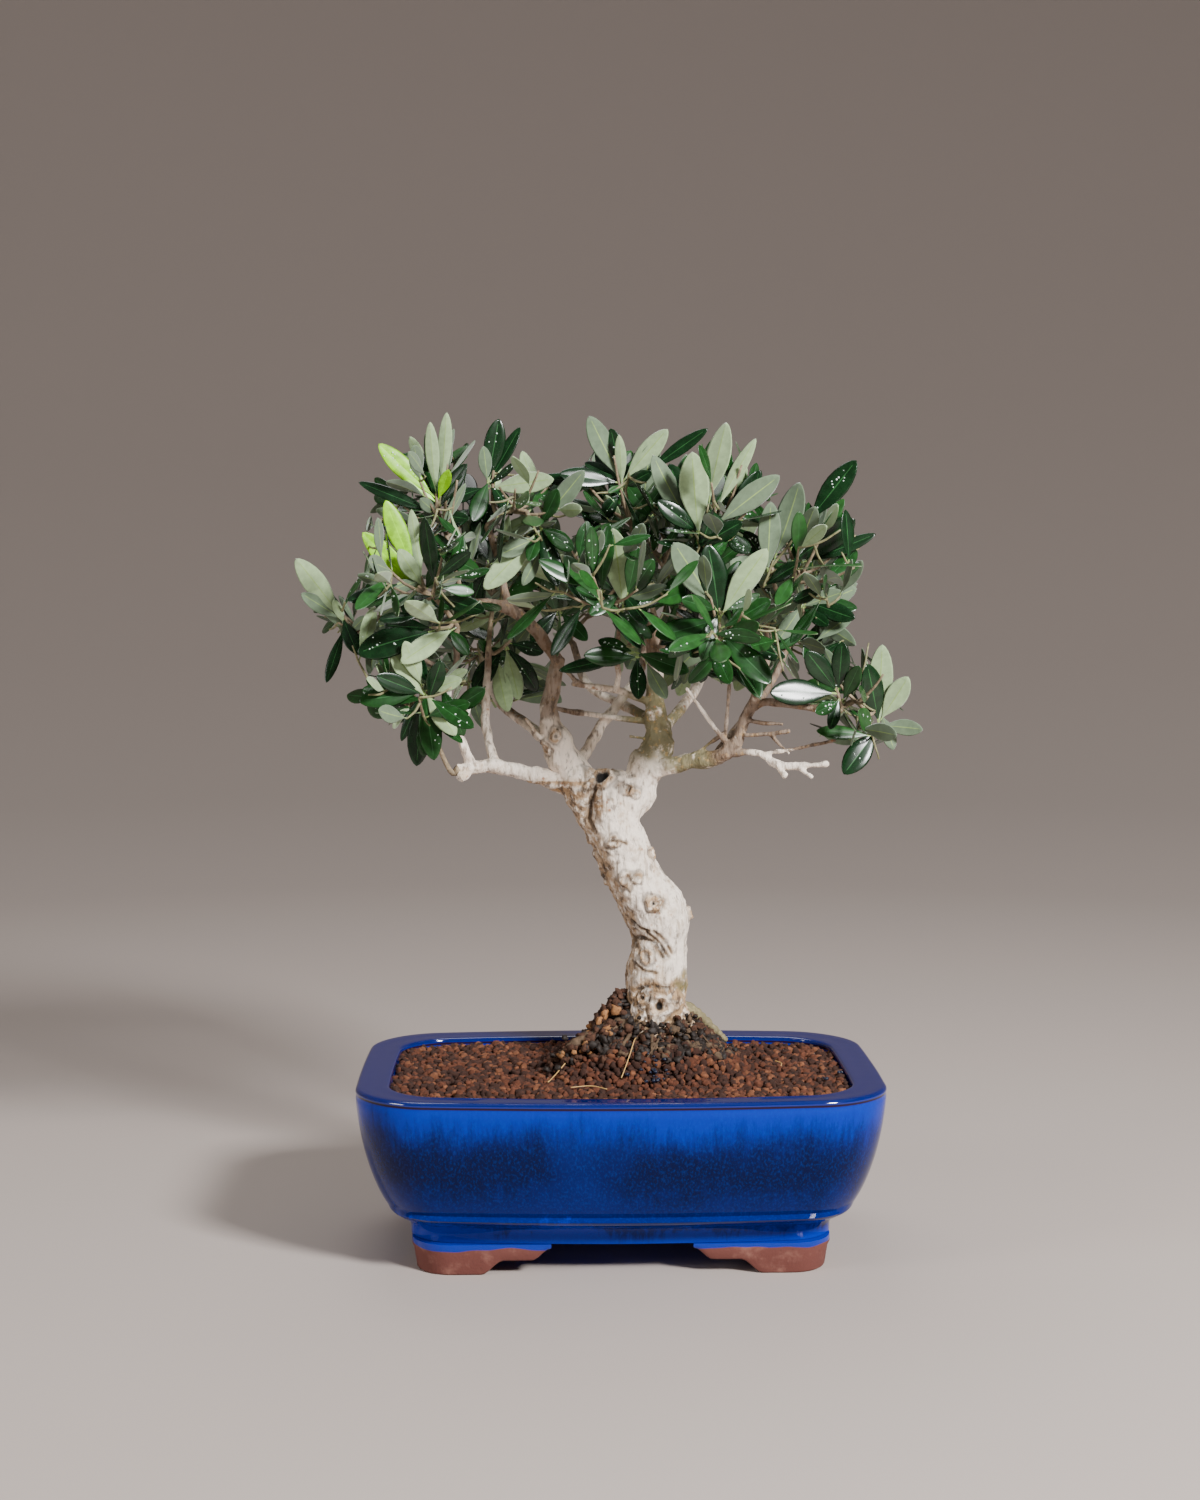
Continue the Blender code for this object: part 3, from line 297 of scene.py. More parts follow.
# Sprays that show in front, in millimetres: the twig's node, then each leaf's tip from there
# and its look. d dark upper side, p pale underside, g grey underside, l new lime leaf,
# n narrow dark leaf, q narrow pale leaf. A capital is a broad leaf.
SPRAYS = (
    ((-72, -5, 299), (
        (-16, -2, 17, "l"), (-24, -3, 25, "l"), (-4, -4, 34, "q"), (4, -1, 38, "q"), (10, -6, 18, "d"),
        (-8, -9, 3, "g"), (-32, -2, 10, "n"), (5, -8, 15, "l"), (-6, 3, 15, "d"), (12, -8, -5, "d"))),
    ((-77, -20, 266), (
        (-25, -4, 22, "l"), (-16, -5, 35, "l"), (-10, -9, 16, "p"), (-6, -2, 32, "q"), (6, -8, 11, "d"),
        (-12, -7, 1, "g"), (11, -8, -7, "d"))),
    ((-109, -12, 252), (
        (-19, -3, 27, "p"), (-17, -6, 13, "g"), (-4, -2, 11, "p"), (9, -5, 4, "g"), (-10, 3, 16, "g"),
        (-7, -6, -22, "n"), (5, -8, -11, "d"))),
    ((-68, -28, 252), (
        (-35, -6, -8, "D"), (-25, 3, 0, "d"), (-18, -9, -12, "p"), (9, -6, -10, "d"))),
    ((-76, -30, 224), (
        (-26, -5, 0, "d"), (-19, -7, 10, "d"), (-26, 4, 3, "d"), (-14, -2, 19, "p"), (-8, -6, 23, "p"),
        (6, -8, 15, "d"), (14, -5, 8, "p"), (-11, 3, -16, "n"), (-2, -3, -22, "d"), (-5, 2, -26, "d"),
        (11, -7, -14, "p"), (4, -6, -23, "d"))),
    ((-53, 4, 309), (
        (-1, -6, 15, "g"), (5, -2, 26, "d"), (14, 3, 23, "n"), (13, -9, 8, "n"), (45, -4, 0, "n"),
        (27, -8, 2, "p"), (-6, -9, -15, "d"), (11, -7, -12, "d"), (-15, -3, -6, "d"))),
    ((-32, -8, 290), (
        (18, -4, 24, "g"), (8, -8, 16, "d"), (14, -9, -7, "d"), (-16, -9, -9, "g"), (-21, -8, -24, "p"),
        (-4, -8, -12, "d"), (8, -4, -22, "d"))),
    ((1, 0, 306), (
        (-13, -5, 30, "g"), (-4, -3, 25, "d"), (0, -8, 22, "q"), (18, -3, 25, "p"), (34, -6, 25, "n"),
        (-15, 2, 11, "d"), (-25, -5, 7, "d"), (11, -8, 8, "d"), (-9, -9, -11, "d"), (11, -7, -9, "d"))),
    ((30, -36, 285), (
        (-5, -8, 34, "P"), (10, -2, 46, "P"), (21, -3, 40, "q"), (30, -5, 26, "g"), (-16, -6, 16, "d"),
        (15, -9, 8, "d"), (-11, 5, 31, "d"), (-19, 3, 33, "g"))),
    ((0, -45, 262), (
        (-3, -9, 28, "P"), (-15, -4, 16, "d"), (12, -5, 16, "d"), (-18, -8, 5, "d"), (-9, 3, 12, "d"),
        (17, -8, 5, "g"), (-13, -9, -4, "d"), (9, -9, -8, "d"))),
    ((36, -60, 254), (
        (-17, -4, 31, "G"), (16, -5, 29, "p"), (-3, -2, 30, "D"), (8, 4, 24, "d"), (19, -8, -22, "D"),
        (-24, -6, -6, "D"), (-15, -8, 9, "d"), (19, -5, 9, "d"), (-8, -7, -13, "d"))),
    ((57, -25, 271), (
        (1, -5, 30, "g"), (14, -3, 37, "G"), (33, -8, 24, "D"), (35, -2, 46, "d"), (43, -4, 16, "n"),
        (-8, 3, 19, "d"), (-15, -7, 7, "g"), (12, -9, 7, "d"))),
    ((75, 15, 259), (
        (17, -5, 7, "g"), (24, 2, 7, "g"), (23, -4, 0, "d"), (21, -8, -5, "d"), (-6, -3, 20, "g"),
        (11, -8, -7, "d"), (-9, -6, -13, "g"))),
    ((87, -25, 223), (
        (-14, -4, 20, "D"), (0, -5, 23, "d"), (-29, -7, 5, "D"), (-5, -4, -11, "d"), (-11, -8, -5, "d"),
        (6, -8, 14, "d"))),
    ((104, -12, 215), (
        (-6, -8, 22, "D"), (0, -2, 30, "p"), (11, -5, 17, "P"), (-15, -9, -21, "D"), (17, -4, -3, "g"),
        (7, 3, -12, "g"))),
    ((7, -30, 241), (
        (-22, -6, 0, "d"), (-31, -2, -7, "n"), (10, -5, -17, "g"), (19, -6, -6, "d"), (0, -3, -17, "d"),
        (-16, 4, 6, "d"))),
    ((-48, 10, 242), (
        (8, -5, -20, "p"), (2, -8, -25, "p"), (-12, -6, -16, "d"), (16, -3, -16, "d"), (18, -5, 0, "d"),
        (-9, -7, 4, "d"))),
    ((-24, 20, 258), (
        (-12, -5, -12, "d"), (12, -3, -12, "d"), (-6, -6, 14, "d"), (16, -3, 8, "d"))),
)

# Sky that shows through the crown from the front: middle and half sizes of each gap, in mm
GAPS = (
    (-12, 238, 10, 23), (-35, 242, 5, 10), (0, 206, 13, 14), (35, 215, 12, 14), (-43, 213, 14, 7),
    (72, 194, 24, 13), (47, 241, 5, 5), (-116, 235, 14, 8), (-24, 326, 8, 12), (-60, 332, 4, 6),
    (106, 251, 12, 6))

# The crown's edge from the front, in mm, which only the measured sprays may pass
EDGE = (
    (-128, 277), (-120, 266), (-108, 264), (-103, 278), (-103, 294), (-100, 309), (-92, 322), (-83, 330),
    (-66, 332), (-56, 326), (-48, 322), (-40, 324), (-32, 312), (-16, 313), (-10, 329), (0, 325), (16, 325),
    (28, 325), (36, 328), (44, 329), (52, 322), (62, 309), (73, 305), (84, 309), (92, 304), (93, 294),
    (100, 286), (96, 266), (97, 254), (105, 242), (115, 230), (120, 212), (106, 195), (92, 194), (73, 216),
    (57, 222), (47, 225), (33, 222), (9, 226), (-8, 222), (-24, 222), (-30, 226), (-48, 206), (-60, 208),
    (-72, 196), (-86, 206), (-103, 217), (-115, 229))

# Dead stubs and bare twigs of the inner crown: start, end and radius
STUBS = (
    ((-0.0600, -0.011, 0.1962), (-0.0640, -0.014, 0.1915), 0.0021),
    ((-0.0640, -0.014, 0.2100), (-0.0698, -0.017, 0.2184), 0.0011),
    ((-0.0640, -0.015, 0.2110), (-0.0646, -0.018, 0.2205), 0.0010),
    ((-0.0635, -0.014, 0.2080), (-0.0600, -0.016, 0.2200), 0.0010),
    ((-0.0238, -0.003, 0.2030), (-0.0295, -0.006, 0.2075), 0.0020),
    ((-0.0254, -0.003, 0.2070), (-0.0306, -0.006, 0.2149), 0.0016),
    ((-0.0255, -0.004, 0.2000), (-0.0379, -0.007, 0.2153), 0.0009),
    ((0.0700, -0.026, 0.1976), (0.0752, -0.031, 0.1930), 0.0010),
    ((0.0610, -0.023, 0.1990), (0.0650, -0.027, 0.1935), 0.0010),
    ((0.0495, -0.017, 0.2090), (0.0667, -0.025, 0.2111), 0.0009),
    ((0.0590, -0.021, 0.2100), (0.0666, -0.027, 0.2022), 0.0008),
    ((0.0500, -0.017, 0.2150), (0.0644, -0.021, 0.2136), 0.0009),
    ((0.0550, -0.019, 0.2015), (0.0844, -0.029, 0.2078), 0.0008),
    ((0.0430, -0.012, 0.2050), (0.0260, -0.019, 0.2279), 0.0009),
    ((0.0420, -0.012, 0.2060), (0.0431, -0.023, 0.2316), 0.0008),
    ((0.0250, -0.005, 0.1970), (0.0425, -0.012, 0.2103), 0.0010),
    ((0.0158, 0.006, 0.2130), (-0.0144, 0.007, 0.2165), 0.0013),
    ((-0.0144, 0.007, 0.2165), (-0.0262, 0.000, 0.2192), 0.0012),
    ((0.0160, 0.004, 0.2065), (0.0042, 0.001, 0.2075), 0.0008),
    ((-0.0150, -0.006, 0.2285), (-0.0214, -0.011, 0.2345), 0.0011),
)

# Marks on the bark: middle, way out of it, radius of the ring, its height and depth of the hole
KNOTS = (
    ((-0.0066, -0.0058, 0.1914), (-0.3, -0.7, 0.7), 0.0043, 0.0010, 0.0040),
    ((0.0164, -0.010, 0.0984), (0, -1, 0), 0.0038, 0.0016, 0.0028),
    ((0.0090, -0.008, 0.1016), (-0.4, -1, 0), 0.0022, 0.0008, 0.0016),
    ((0.0031, -0.008, 0.1503), (-0.3, -1, 0), 0.0022, 0.0009, 0.0005),
    ((0.0072, -0.009, 0.1504), (0, -1, 0), 0.0016, 0.0007, 0.0004),
    ((0.0137, -0.008, 0.1404), (0, -1, 0), 0.0023, 0.0012, 0.0013),
    ((-0.0022, -0.009, 0.1655), (0, -1, 0), 0.0018, 0.0006, 0.0002),
    ((0.0038, -0.009, 0.1862), (0, -1, 0), 0.0016, 0.0009, 0.0007),
    ((0.0073, -0.009, 0.1844), (0.2, -1, 0), 0.0017, 0.0009, 0.0006),
    ((0.0110, -0.007, 0.1185), (-0.3, -1, 0), 0.0022, 0.0008, 0.0004),
    ((-0.0060, 0.007, 0.1500), (-0.6, 1, 0), 0.0026, 0.0010, 0.0008),
    ((0.0150, 0.015, 0.1150), (0, 1, 0), 0.0030, 0.0010, 0.0008),
    ((0.0285, 0.004, 0.1345), (1, 0, 0), 0.0020, 0.0012, 0.0003),
    ((0.0120, -0.002, 0.1600), (1, -0.3, 0), 0.0018, 0.0009, 0.0002),
    ((-0.0080, 0.000, 0.1560), (-1, -0.2, 0), 0.0028, 0.0010, 0.0002),
    ((-0.0255, -0.008, 0.2080), (0, -1, 0), 0.0020, 0.0010, 0.0007),
    ((-0.0290, -0.004, 0.2030), (-1, -0.6, 0), 0.0020, 0.0010, 0.0007),
)

# Furrows on the trunk's front: places from the side and up, half width and depth
FURROWS = (
    (((0.0030, 0.1245), (0.0095, 0.1259), (0.0145, 0.1238), (0.0179, 0.1183)), 0.0009, 0.0014),
    (((0.0112, 0.1284), (0.0162, 0.1238), (0.0200, 0.1183)), 0.0006, 0.0009),
    (((0.0140, 0.1290), (0.0186, 0.1250), (0.0214, 0.1200)), 0.0005, 0.0006),
    (((0.0030, 0.1300), (0.0054, 0.1259), (0.0070, 0.1221)), 0.0008, 0.0012),
    (((0.0050, 0.1330), (0.0090, 0.1300), (0.0120, 0.1290)), 0.0005, 0.0005),
    (((-0.0095, 0.1885), (-0.0103, 0.1861), (-0.0117, 0.1802), (-0.0125, 0.1744), (-0.0100, 0.1694)),
     0.0008, 0.0013),
    (((0.0079, 0.1049), (0.0129, 0.1069), (0.0196, 0.1057)), 0.0006, 0.0006),
    (((-0.0046, 0.1657), (-0.0005, 0.1662), (0.0028, 0.1648)), 0.0004, 0.0004),
    (((0.0060, 0.1160), (0.0100, 0.1130), (0.0150, 0.1120)), 0.0005, 0.0006),
)


def srgb(code):
    """Linear colour from an sRGB hex code."""
    values = [int(code[i:i + 2], 16) / 255 for i in (0, 2, 4)]
    return tuple(v / 12.92 if v <= 0.04045 else ((v + 0.055) / 1.055) ** 2.4 for v in values)


def colour(name, note, code):
    """Colour setting with a default from an sRGB hex code."""
    return FloatVectorProperty(name=name, description=note, subtype="COLOR", size=3, min=0.0, max=1.0,
                               default=srgb(code))


def length(name, note, default):
    """Length setting in metres."""
    return FloatProperty(name=name, description=note, default=default, unit="LENGTH", precision=5, min=0.0)


class PotSettings(bpy.types.PropertyGroup):
    """Sizes and colours of the pot and its feet."""
    glaze: colour("Glaze", "Cobalt glaze where it lies thin over the rim and base", "00279A")
    fleck: colour("Fleck", "Small bright flecks in the glaze", "0048B8")
    deep: colour("Deep glaze", "Glaze where it lies thick and mottled", "000734")
    belly: colour("Belly glaze", "Glaze on the lower belly", "001866")
    break_line: colour("Glaze break", "Iron brown where the glaze breaks over the arris", "24100A")
    clay: colour("Clay", "Unglazed stoneware of the feet", "6B3A32")
    scuff: colour("Scuffed clay", "Paler rubbed clay", "9A6A5C")
    wander: length("Wander", "How far the hand-pressed sides wander", 0.0002)
    band_low: length("Band low", "Lower edge of the dark mottled band", 0.036)
    band_high: length("Band high", "Upper edge of the dark mottled band", 0.059)


class GritSettings(bpy.types.PropertyGroup):
    """Sizes and colours of the grit and what lies on it."""
    grain: length("Grain", "Middle size of a grain", 0.0031)
    spacing: length("Spacing", "Distance between grains", 0.0027)
    red: colour("Red grain", "Baked clay grain", "5A2F1A")
    dark: colour("Dark grain", "Moist baked clay grain", "371B0E")
    light: colour("Light grain", "Dry baked clay grain", "74452A")
    humus: colour("Humus", "Black humus round the trunk", "21160F")
    root: colour("Root", "Bark of the surface roots", "5A4632")
    fibre: colour("Fibre", "Dry grass fibre", "C9A265")


class BarkSettings(bpy.types.PropertyGroup):
    """Sizes and colours of the bark."""
    voxel: length("Voxel", "Grain of the bark mesh", 0.00055)
    relief: length("Relief", "Depth of the bark's grain", 0.00032)
    pale: colour("Pale bark", "Smooth pale bark", "F6E8D8")
    grey: colour("Grey bark", "Weathered bark in the hollows", "B9AFA2")
    tan: colour("Tan bark", "Rough bark near the ground", "A27C4C")
    moss: colour("Moss", "Green film on the right bough", "665F38")
    brown: colour("Brown bark", "Bark of the thin limbs", "5C3F22")
    # Hole colour: deadwood in the holes, and painted shade in holes, folds and furrows
    hole: colour("Hole", "Dead wood inside knots", "15100C")


class LeafSettings(bpy.types.PropertyGroup):
    """Sizes and colours of twigs and leaves."""
    leaf_length: length("Leaf", "Middle length of a leaf", 0.028)
    leaf_width: FloatProperty(name="Leaf width", description="Width of a leaf as a share of its length",
                              default=0.31, subtype="FACTOR", min=0.1, max=0.8)
    thickness: length("Thickness", "Thickness of a leaf", 0.00045)
    spacing: length("Node spacing", "Distance between leaf pairs on a twig", 0.0075)
    fill: IntProperty(name="Fill", description="Tries for finer twigs in each mass", default=40, min=0)
    seed: IntProperty(name="Seed", description="Seed of the finer twigs", default=5)
    upper: colour("Upper side", "Waxy upper side of a grown leaf", "163D16")
    deep: colour("Deep upper side", "Upper side of an old leaf", "0D2912")
    fresh: colour("Fresh upper side", "Upper side of a younger leaf", "204D1D")
    under: colour("Underside", "Felted underside", "92AA7C")
    # A darker copy of the felted underside: painted shade for undersides that lie in shade
    shade: colour("Grey underside", "Felted underside of an old leaf", "62765A")
    lime: colour("New leaf", "Unfolding leaf", "86C40A")
    rib: colour("Lower midrib", "Midrib and stalk seen from below", "8AA45A")
    upper_rib: colour("Upper midrib", "Midrib seen from above", "27542A")
    old_twig: colour("Old twig", "Ripe twig", "8C7B62")
    young_twig: colour("Young twig", "Green twig", "83805A")


class StageSettings(bpy.types.PropertyGroup):
    """Floor, light and camera."""
    floor: colour("Floor", "Plain pale floor", "B3A7A0")
    key: FloatProperty(name="Key light", description="Power of the main light", default=42.0, unit="POWER")
    fill: FloatProperty(name="Fill light", description="Power of the second light", default=5.0, unit="POWER")
    room: FloatProperty(name="Room light", description="Strength of the even light all round",
                        default=0.24, min=0.0)
    lens: FloatProperty(name="Lens", description="Focal length on a 36 mm wide sensor", default=66.84,
                        min=1.0)


MULTIPLY = {"operation": "MULTIPLY"}
MULTIPLY_ADD = {"operation": "MULTIPLY_ADD"}
SMOOTH = {"interpolation_type": "SMOOTHSTEP"}
COLOURS = {"data_type": "RGBA"}
EVEN = (1.0, 1.0, 1.0)


def fill_sockets(tree, node, values):
    """Set a node's sockets to plain values, or link them to the outputs of other nodes."""
    for key, value in values.items():
        socket = node.inputs[key]
        if isinstance(value, bpy.types.NodeSocket):
            tree.links.new(value, socket)
        elif socket.type == "RGBA":
            socket.default_value = (*value, 1.0)
        else:
            socket.default_value = value


def add_node(tree, kind, settings, values):
    """Add one shader node with its settings and sockets, and give its outputs."""
    node = tree.nodes.new("ShaderNode" + kind)
    for key, value in settings.items():
        setattr(node, key, value)
    fill_sockets(tree, node, values)
    return node.outputs


def new_material(name, values):
    """Material with its shader's plain values, its node tree, its shader and the place on the object."""
    material = bpy.data.materials.new(name)
    material.use_nodes = True
    tree = material.node_tree
    shader = tree.nodes["Principled BSDF"]
    fill_sockets(tree, shader, values)
    return material, tree, shader, add_node(tree, "TexCoord", {}, {})["Object"]


def weather(tree, place, body, coats):
    """Lay coats over a body colour: each where its grain lies between two levels and its mask allows."""
    for shade, size, stretch, levels, strength, mask in coats:
        spread = add_node(tree, "Mapping", {}, {"Vector": place, "Scale": stretch})[0]
        blobs = add_node(tree, "TexNoise", {}, {
            "Vector": spread, "Scale": 0.5 / size, "Detail": 4.0, "Roughness": 0.6})[0]
        share = add_node(tree, "MapRange", SMOOTH, {
            "Value": blobs, "From Min": levels[0], "From Max": levels[1], "To Max": strength})[0]
        if mask is not None:
            share = add_node(tree, "Math", MULTIPLY, {0: share, 1: mask})[0]
        body = add_node(tree, "Mix", COLOURS, {0: share, 6: body, 7: shade})[2]
    return body


def pitted(tree, place, size, strength, depth):
    """Normal of a surface with pits of about size across."""
    pits = add_node(tree, "TexNoise", {}, {"Vector": place, "Scale": 0.5 / size, "Detail": 4.0})[0]
    return add_node(tree, "Bump", {}, {"Height": pits, "Strength": strength, "Distance": depth})[0]


def fired_cobalt_glaze(pot):
    """Cobalt glaze dipped and fired on stoneware.

    It runs thin and bright over the rim and the base, pools dark in the middle, streaks
    downward, and breaks to iron brown at the arris, so the eye sees a thick wet glass coat.
    """
    material, tree, shader, place = new_material("fired_cobalt_glaze", {"IOR": 1.52})
    height = add_node(tree, "SeparateXYZ", {}, {"Vector": place})[2]
    # How much the dip's clouds, mottles of 9 mm and runs of 1.3 mm move a tide line up or down
    level = height
    for size, stretch, rough, reach in ((0.034, EVEN, 0.5, 0.022), (0.009, (1.0, 1.0, 0.55), 0.55, 0.016),
                                        (0.0013, (1.0, 1.0, 0.10), 0.75, 0.022)):
        spread = add_node(tree, "Mapping", {}, {"Vector": place, "Scale": stretch})[0]
        blobs = add_node(tree, "TexNoise", {}, {
            "Vector": spread, "Scale": 0.5 / size, "Detail": 5.0, "Roughness": rough})[0]
        level = add_node(tree, "Math", MULTIPLY_ADD, {0: blobs, 1: reach, 2: level})[0]
    lifted = 0.030
    low, high = pot.band_low + lifted, pot.band_high + lifted
    cloud = add_node(tree, "TexNoise", {}, {"Vector": place, "Scale": 0.5 / 0.026, "Detail": 2.0})[0]
    thick = add_node(tree, "MapRange", SMOOTH, {
        "Value": cloud, "From Min": 0.40, "From Max": 0.60, "To Min": 0.22, "To Max": 0.95})[0]
    for start, end in ((low - 0.012, low + 0.010), (high + 0.009, high - 0.009)):
        share = add_node(tree, "MapRange", SMOOTH, {"Value": level, "From Min": start, "From Max": end})[0]
        thick = add_node(tree, "Math", MULTIPLY, {0: thick, 1: share})[0]
    body = tuple(pot.belly)
    for start, end in ((0.052 + lifted, 0.070 + lifted), (0.023 + lifted, 0.017 + lifted)):
        share = add_node(tree, "MapRange", SMOOTH, {"Value": level, "From Min": start, "From Max": end})[0]
        body = add_node(tree, "Mix", COLOURS, {0: share, 6: body, 7: tuple(pot.glaze)})[2]
    body = add_node(tree, "Mix", COLOURS, {0: thick, 6: body, 7: tuple(pot.deep)})[2]
    body = weather(tree, place, body, ((tuple(pot.fleck), 0.0004, (1.0, 1.0, 0.6), (0.45, 0.70), 0.16, None),))
    # The level lip takes a thicker coat and mirrors the room; the sides mirror less than glass
    # would, as the pale room would otherwise grey their blue
    lip = add_node(tree, "MapRange", SMOOTH, {"Value": height, "From Min": 0.0708, "From Max": 0.0722})[0]
    coat = add_node(tree, "Math", MULTIPLY, {0: lip, 1: 0.72})[0]
    body = add_node(tree, "Mix", COLOURS, {0: coat, 6: body, 7: tuple(pot.deep)})[2]
    mirror = add_node(tree, "Math", MULTIPLY_ADD, {0: lip, 1: 0.80, 2: 0.18})[0]
    # The line where the glaze breaks, under the rounded edge
    line = 0.95
    for start, end in ((0.0700, 0.0706), (0.0716, 0.0710)):
        share = add_node(tree, "MapRange", SMOOTH, {
            "Value": height, "From Min": start, "From Max": end})[0]
        line = add_node(tree, "Math", MULTIPLY, {0: share, 1: line})[0]
    body = add_node(tree, "Mix", COLOURS, {0: line, 6: body, 7: tuple(pot.break_line)})[2]
    gloss = add_node(tree, "Math", MULTIPLY_ADD, {0: cloud, 1: 0.06, 2: 0.05})[0]
    fill_sockets(tree, shader, {
        "Base Color": body, "Roughness": gloss, "Specular IOR Level": mirror,
        "Normal": pitted(tree, place, 0.0045, 0.25, 0.0003)})
    return material


def bare_stoneware(pot):
    """Unglazed iron-bearing stoneware, pressed and fired: dull, fine-grained, paler where rubbed."""
    material, tree, shader, place = new_material("bare_stoneware", {})
    body = weather(tree, place, tuple(pot.clay), (
        (tuple(pot.scuff), 0.006, EVEN, (0.50, 0.68), 0.60, None),
        (srgb("3F2721"), 0.0006, EVEN, (0.55, 0.75), 0.35, None)))
    # Glaze that reaches over the top of a foot, down to an uneven line
    height = add_node(tree, "SeparateXYZ", {}, {"Vector": place})[2]
    drip = add_node(tree, "TexNoise", {}, {"Vector": place, "Scale": 0.5 / 0.009, "Detail": 1.0})[0]
    above = add_node(tree, "Math", MULTIPLY_ADD, {0: drip, 1: -0.0040, 2: height})[0]
    wet = add_node(tree, "MapRange", SMOOTH, {"Value": above, "From Min": 0.0084, "From Max": 0.0088})[0]
    fill_sockets(tree, shader, {
        "Base Color": add_node(tree, "Mix", COLOURS, {0: wet, 6: body, 7: tuple(pot.glaze)})[2],
        "Roughness": add_node(tree, "Math", MULTIPLY_ADD, {0: wet, 1: -0.7, 2: 0.82})[0],
        "Normal": pitted(tree, place, 0.0005, 0.5, 0.0002)})
    return material


def baked_clay_grain(name, shade, roughness=0.95):
    """Crumbly baked clay: quite dull, pitted, with paler worn corners."""
    material, tree, shader, place = new_material(name, {"Roughness": roughness})
    pale = tuple(min(1.0, c * 1.7 + 0.01) for c in shade)
    fill_sockets(tree, shader, {
        "Base Color": weather(tree, place, tuple(c * 0.75 for c in shade), (
            (pale, 0.0009, EVEN, (0.45, 0.70), 0.60, None),)),
        "Normal": pitted(tree, place, 0.0004, 0.8, 0.0002)})
    return material


def live_olive_bark(bark):
    """Live bark of an old olive: pale and papery, grey in its cracks, tan and rough at the foot.

    The painted layers hold what has a place: moss in red, brown twig bark in green, deadwood
    with painted shade in holes, folds and furrows in blue, and rough tan bark in alpha, which on
    the trunk's left side is partly painted shade.
    """
    material, tree, shader, place = new_material("live_olive_bark", {"Roughness": 0.85})
    painted = add_node(tree, "Attribute", {"attribute_name": "layers"}, {})
    moss, brown, dead_wood_and_shade = add_node(tree, "SeparateColor", {}, {"Color": painted["Color"]})
    rough = painted["Alpha"]
    patch = add_node(tree, "TexNoise", {}, {"Vector": place, "Scale": 0.5 / 0.007, "Detail": 4.0})[0]
    stained = add_node(tree, "MapRange", SMOOTH, {"Value": patch, "From Min": 0.46, "From Max": 0.66})[0]
    # Fibres run up the trunk; moss and twig bark carry flecks of the bark under them
    body = weather(tree, place, tuple(bark.pale), (
        (tuple(bark.grey), 0.0010, (1.0, 1.0, 0.45), (0.52, 0.34), 0.50, None),
        (srgb("A08C76"), 0.0011, (1.0, 1.0, 0.14), (0.46, 0.33), 0.60, None),
        (tuple(bark.tan), 0.0016, EVEN, (0.40, 0.62), 0.50, stained),
        (tuple(bark.tan), 0.0016, EVEN, (0.34, 0.54), 0.85, rough),
        # Dark brown over the rough bark; on the trunk's left side this is partly painted shade
        (srgb("534234"), 0.0012, (1.0, 1.0, 0.6), (0.50, 0.36), 0.90, rough),
        (srgb("705D4E"), 0.0010, (1.0, 1.0, 0.45), (0.43, 0.32), 0.60, None),
        (tuple(bark.moss), 0.0025, EVEN, (0.30, 0.48), 0.92, moss),
        (srgb("A98C58"), 0.0011, EVEN, (0.56, 0.66), 0.70, moss),
        (tuple(bark.brown), 0.0030, EVEN, (0.22, 0.36), 0.92, brown),
        (srgb("38281A"), 0.0016, (1.0, 1.0, 0.5), (0.48, 0.36), 0.75, brown),
        (srgb("B59468"), 0.0013, EVEN, (0.56, 0.66), 0.55, brown)))
    # Breathing pores: small rusty dots, a few in each square centimetre
    dots = add_node(tree, "TexVoronoi", {}, {"Vector": place, "Scale": 330.0})["Distance"]
    pores = add_node(tree, "MapRange", SMOOTH, {
        "Value": dots, "From Min": 0.24, "From Max": 0.14, "To Max": 0.70})[0]
    pores = add_node(tree, "Math", MULTIPLY, {0: pores, 1: stained})[0]
    body = add_node(tree, "Mix", COLOURS, {0: pores, 6: body, 7: srgb("9A6236")})[2]
    crack = add_node(tree, "Mapping", {}, {"Vector": place, "Scale": (1.0, 1.0, 0.40)})[0]
    # The blue layer lays on the near-black hole colour: deadwood in the holes, and painted shade in holes,
    # folds and furrows
    fill_sockets(tree, shader, {
        "Base Color": add_node(tree, "Mix", COLOURS, {0: dead_wood_and_shade, 6: body, 7: tuple(bark.hole)})[2],
        "Normal": pitted(tree, crack, 0.0010, 1.0, 0.0012)})
    return material


def waxy_leaf(name, shade, roughness=0.27):
    """Waxy upper side of a leaf: smooth and shiny, with a faint net of veins."""
    material, tree, shader, place = new_material(name, {"Roughness": roughness, "IOR": 1.45})
    bright = tuple(min(1.0, c * 1.25) for c in shade)
    fill_sockets(tree, shader, {
        "Base Color": weather(tree, place, tuple(c * 0.80 for c in shade), (
            (bright, 0.0016, EVEN, (0.35, 0.65), 1.0, None),)),
        "Normal": pitted(tree, place, 0.0016, 0.12, 0.0001)})
    return material


def felted_leaf(name, shade):
    """Felted underside of a leaf: dull and silvery, from its coat of fine hairs."""
    material, tree, shader, place = new_material(name, {"Roughness": 0.75, "Sheen Weight": 0.35})
    bright = tuple(min(1.0, c * 1.10) for c in shade)
    fill_sockets(tree, shader, {
        "Base Color": weather(tree, place, tuple(c * 0.86 for c in shade), (
            (bright, 0.0012, EVEN, (0.30, 0.70), 1.0, None),))})
    return material


def ride_root(piece, finish_slot, *nodes):
    """Let a piece ride on the model and stand for its nodes; its finish slot is not used."""
    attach(piece, "root")
    if nodes:
        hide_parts(*nodes)
    if not piece.data.polygons:
        raise RuntimeError(piece.name + " came out empty")


def new_piece(name, bm, materials):
    """Object at the pot's place from a bmesh, with its faces pointing out."""
    bmesh.ops.recalc_face_normals(bm, faces=bm.faces)
    bmesh.ops.translate(bm, vec=PLACE, verts=bm.verts)
    mesh = bpy.data.meshes.new(name)
    bm.to_mesh(mesh)
    bm.free()
    piece = bpy.data.objects.new(name, mesh)
    bpy.context.scene.collection.objects.link(piece)
    for material in materials:
        mesh.materials.append(material)
    return piece


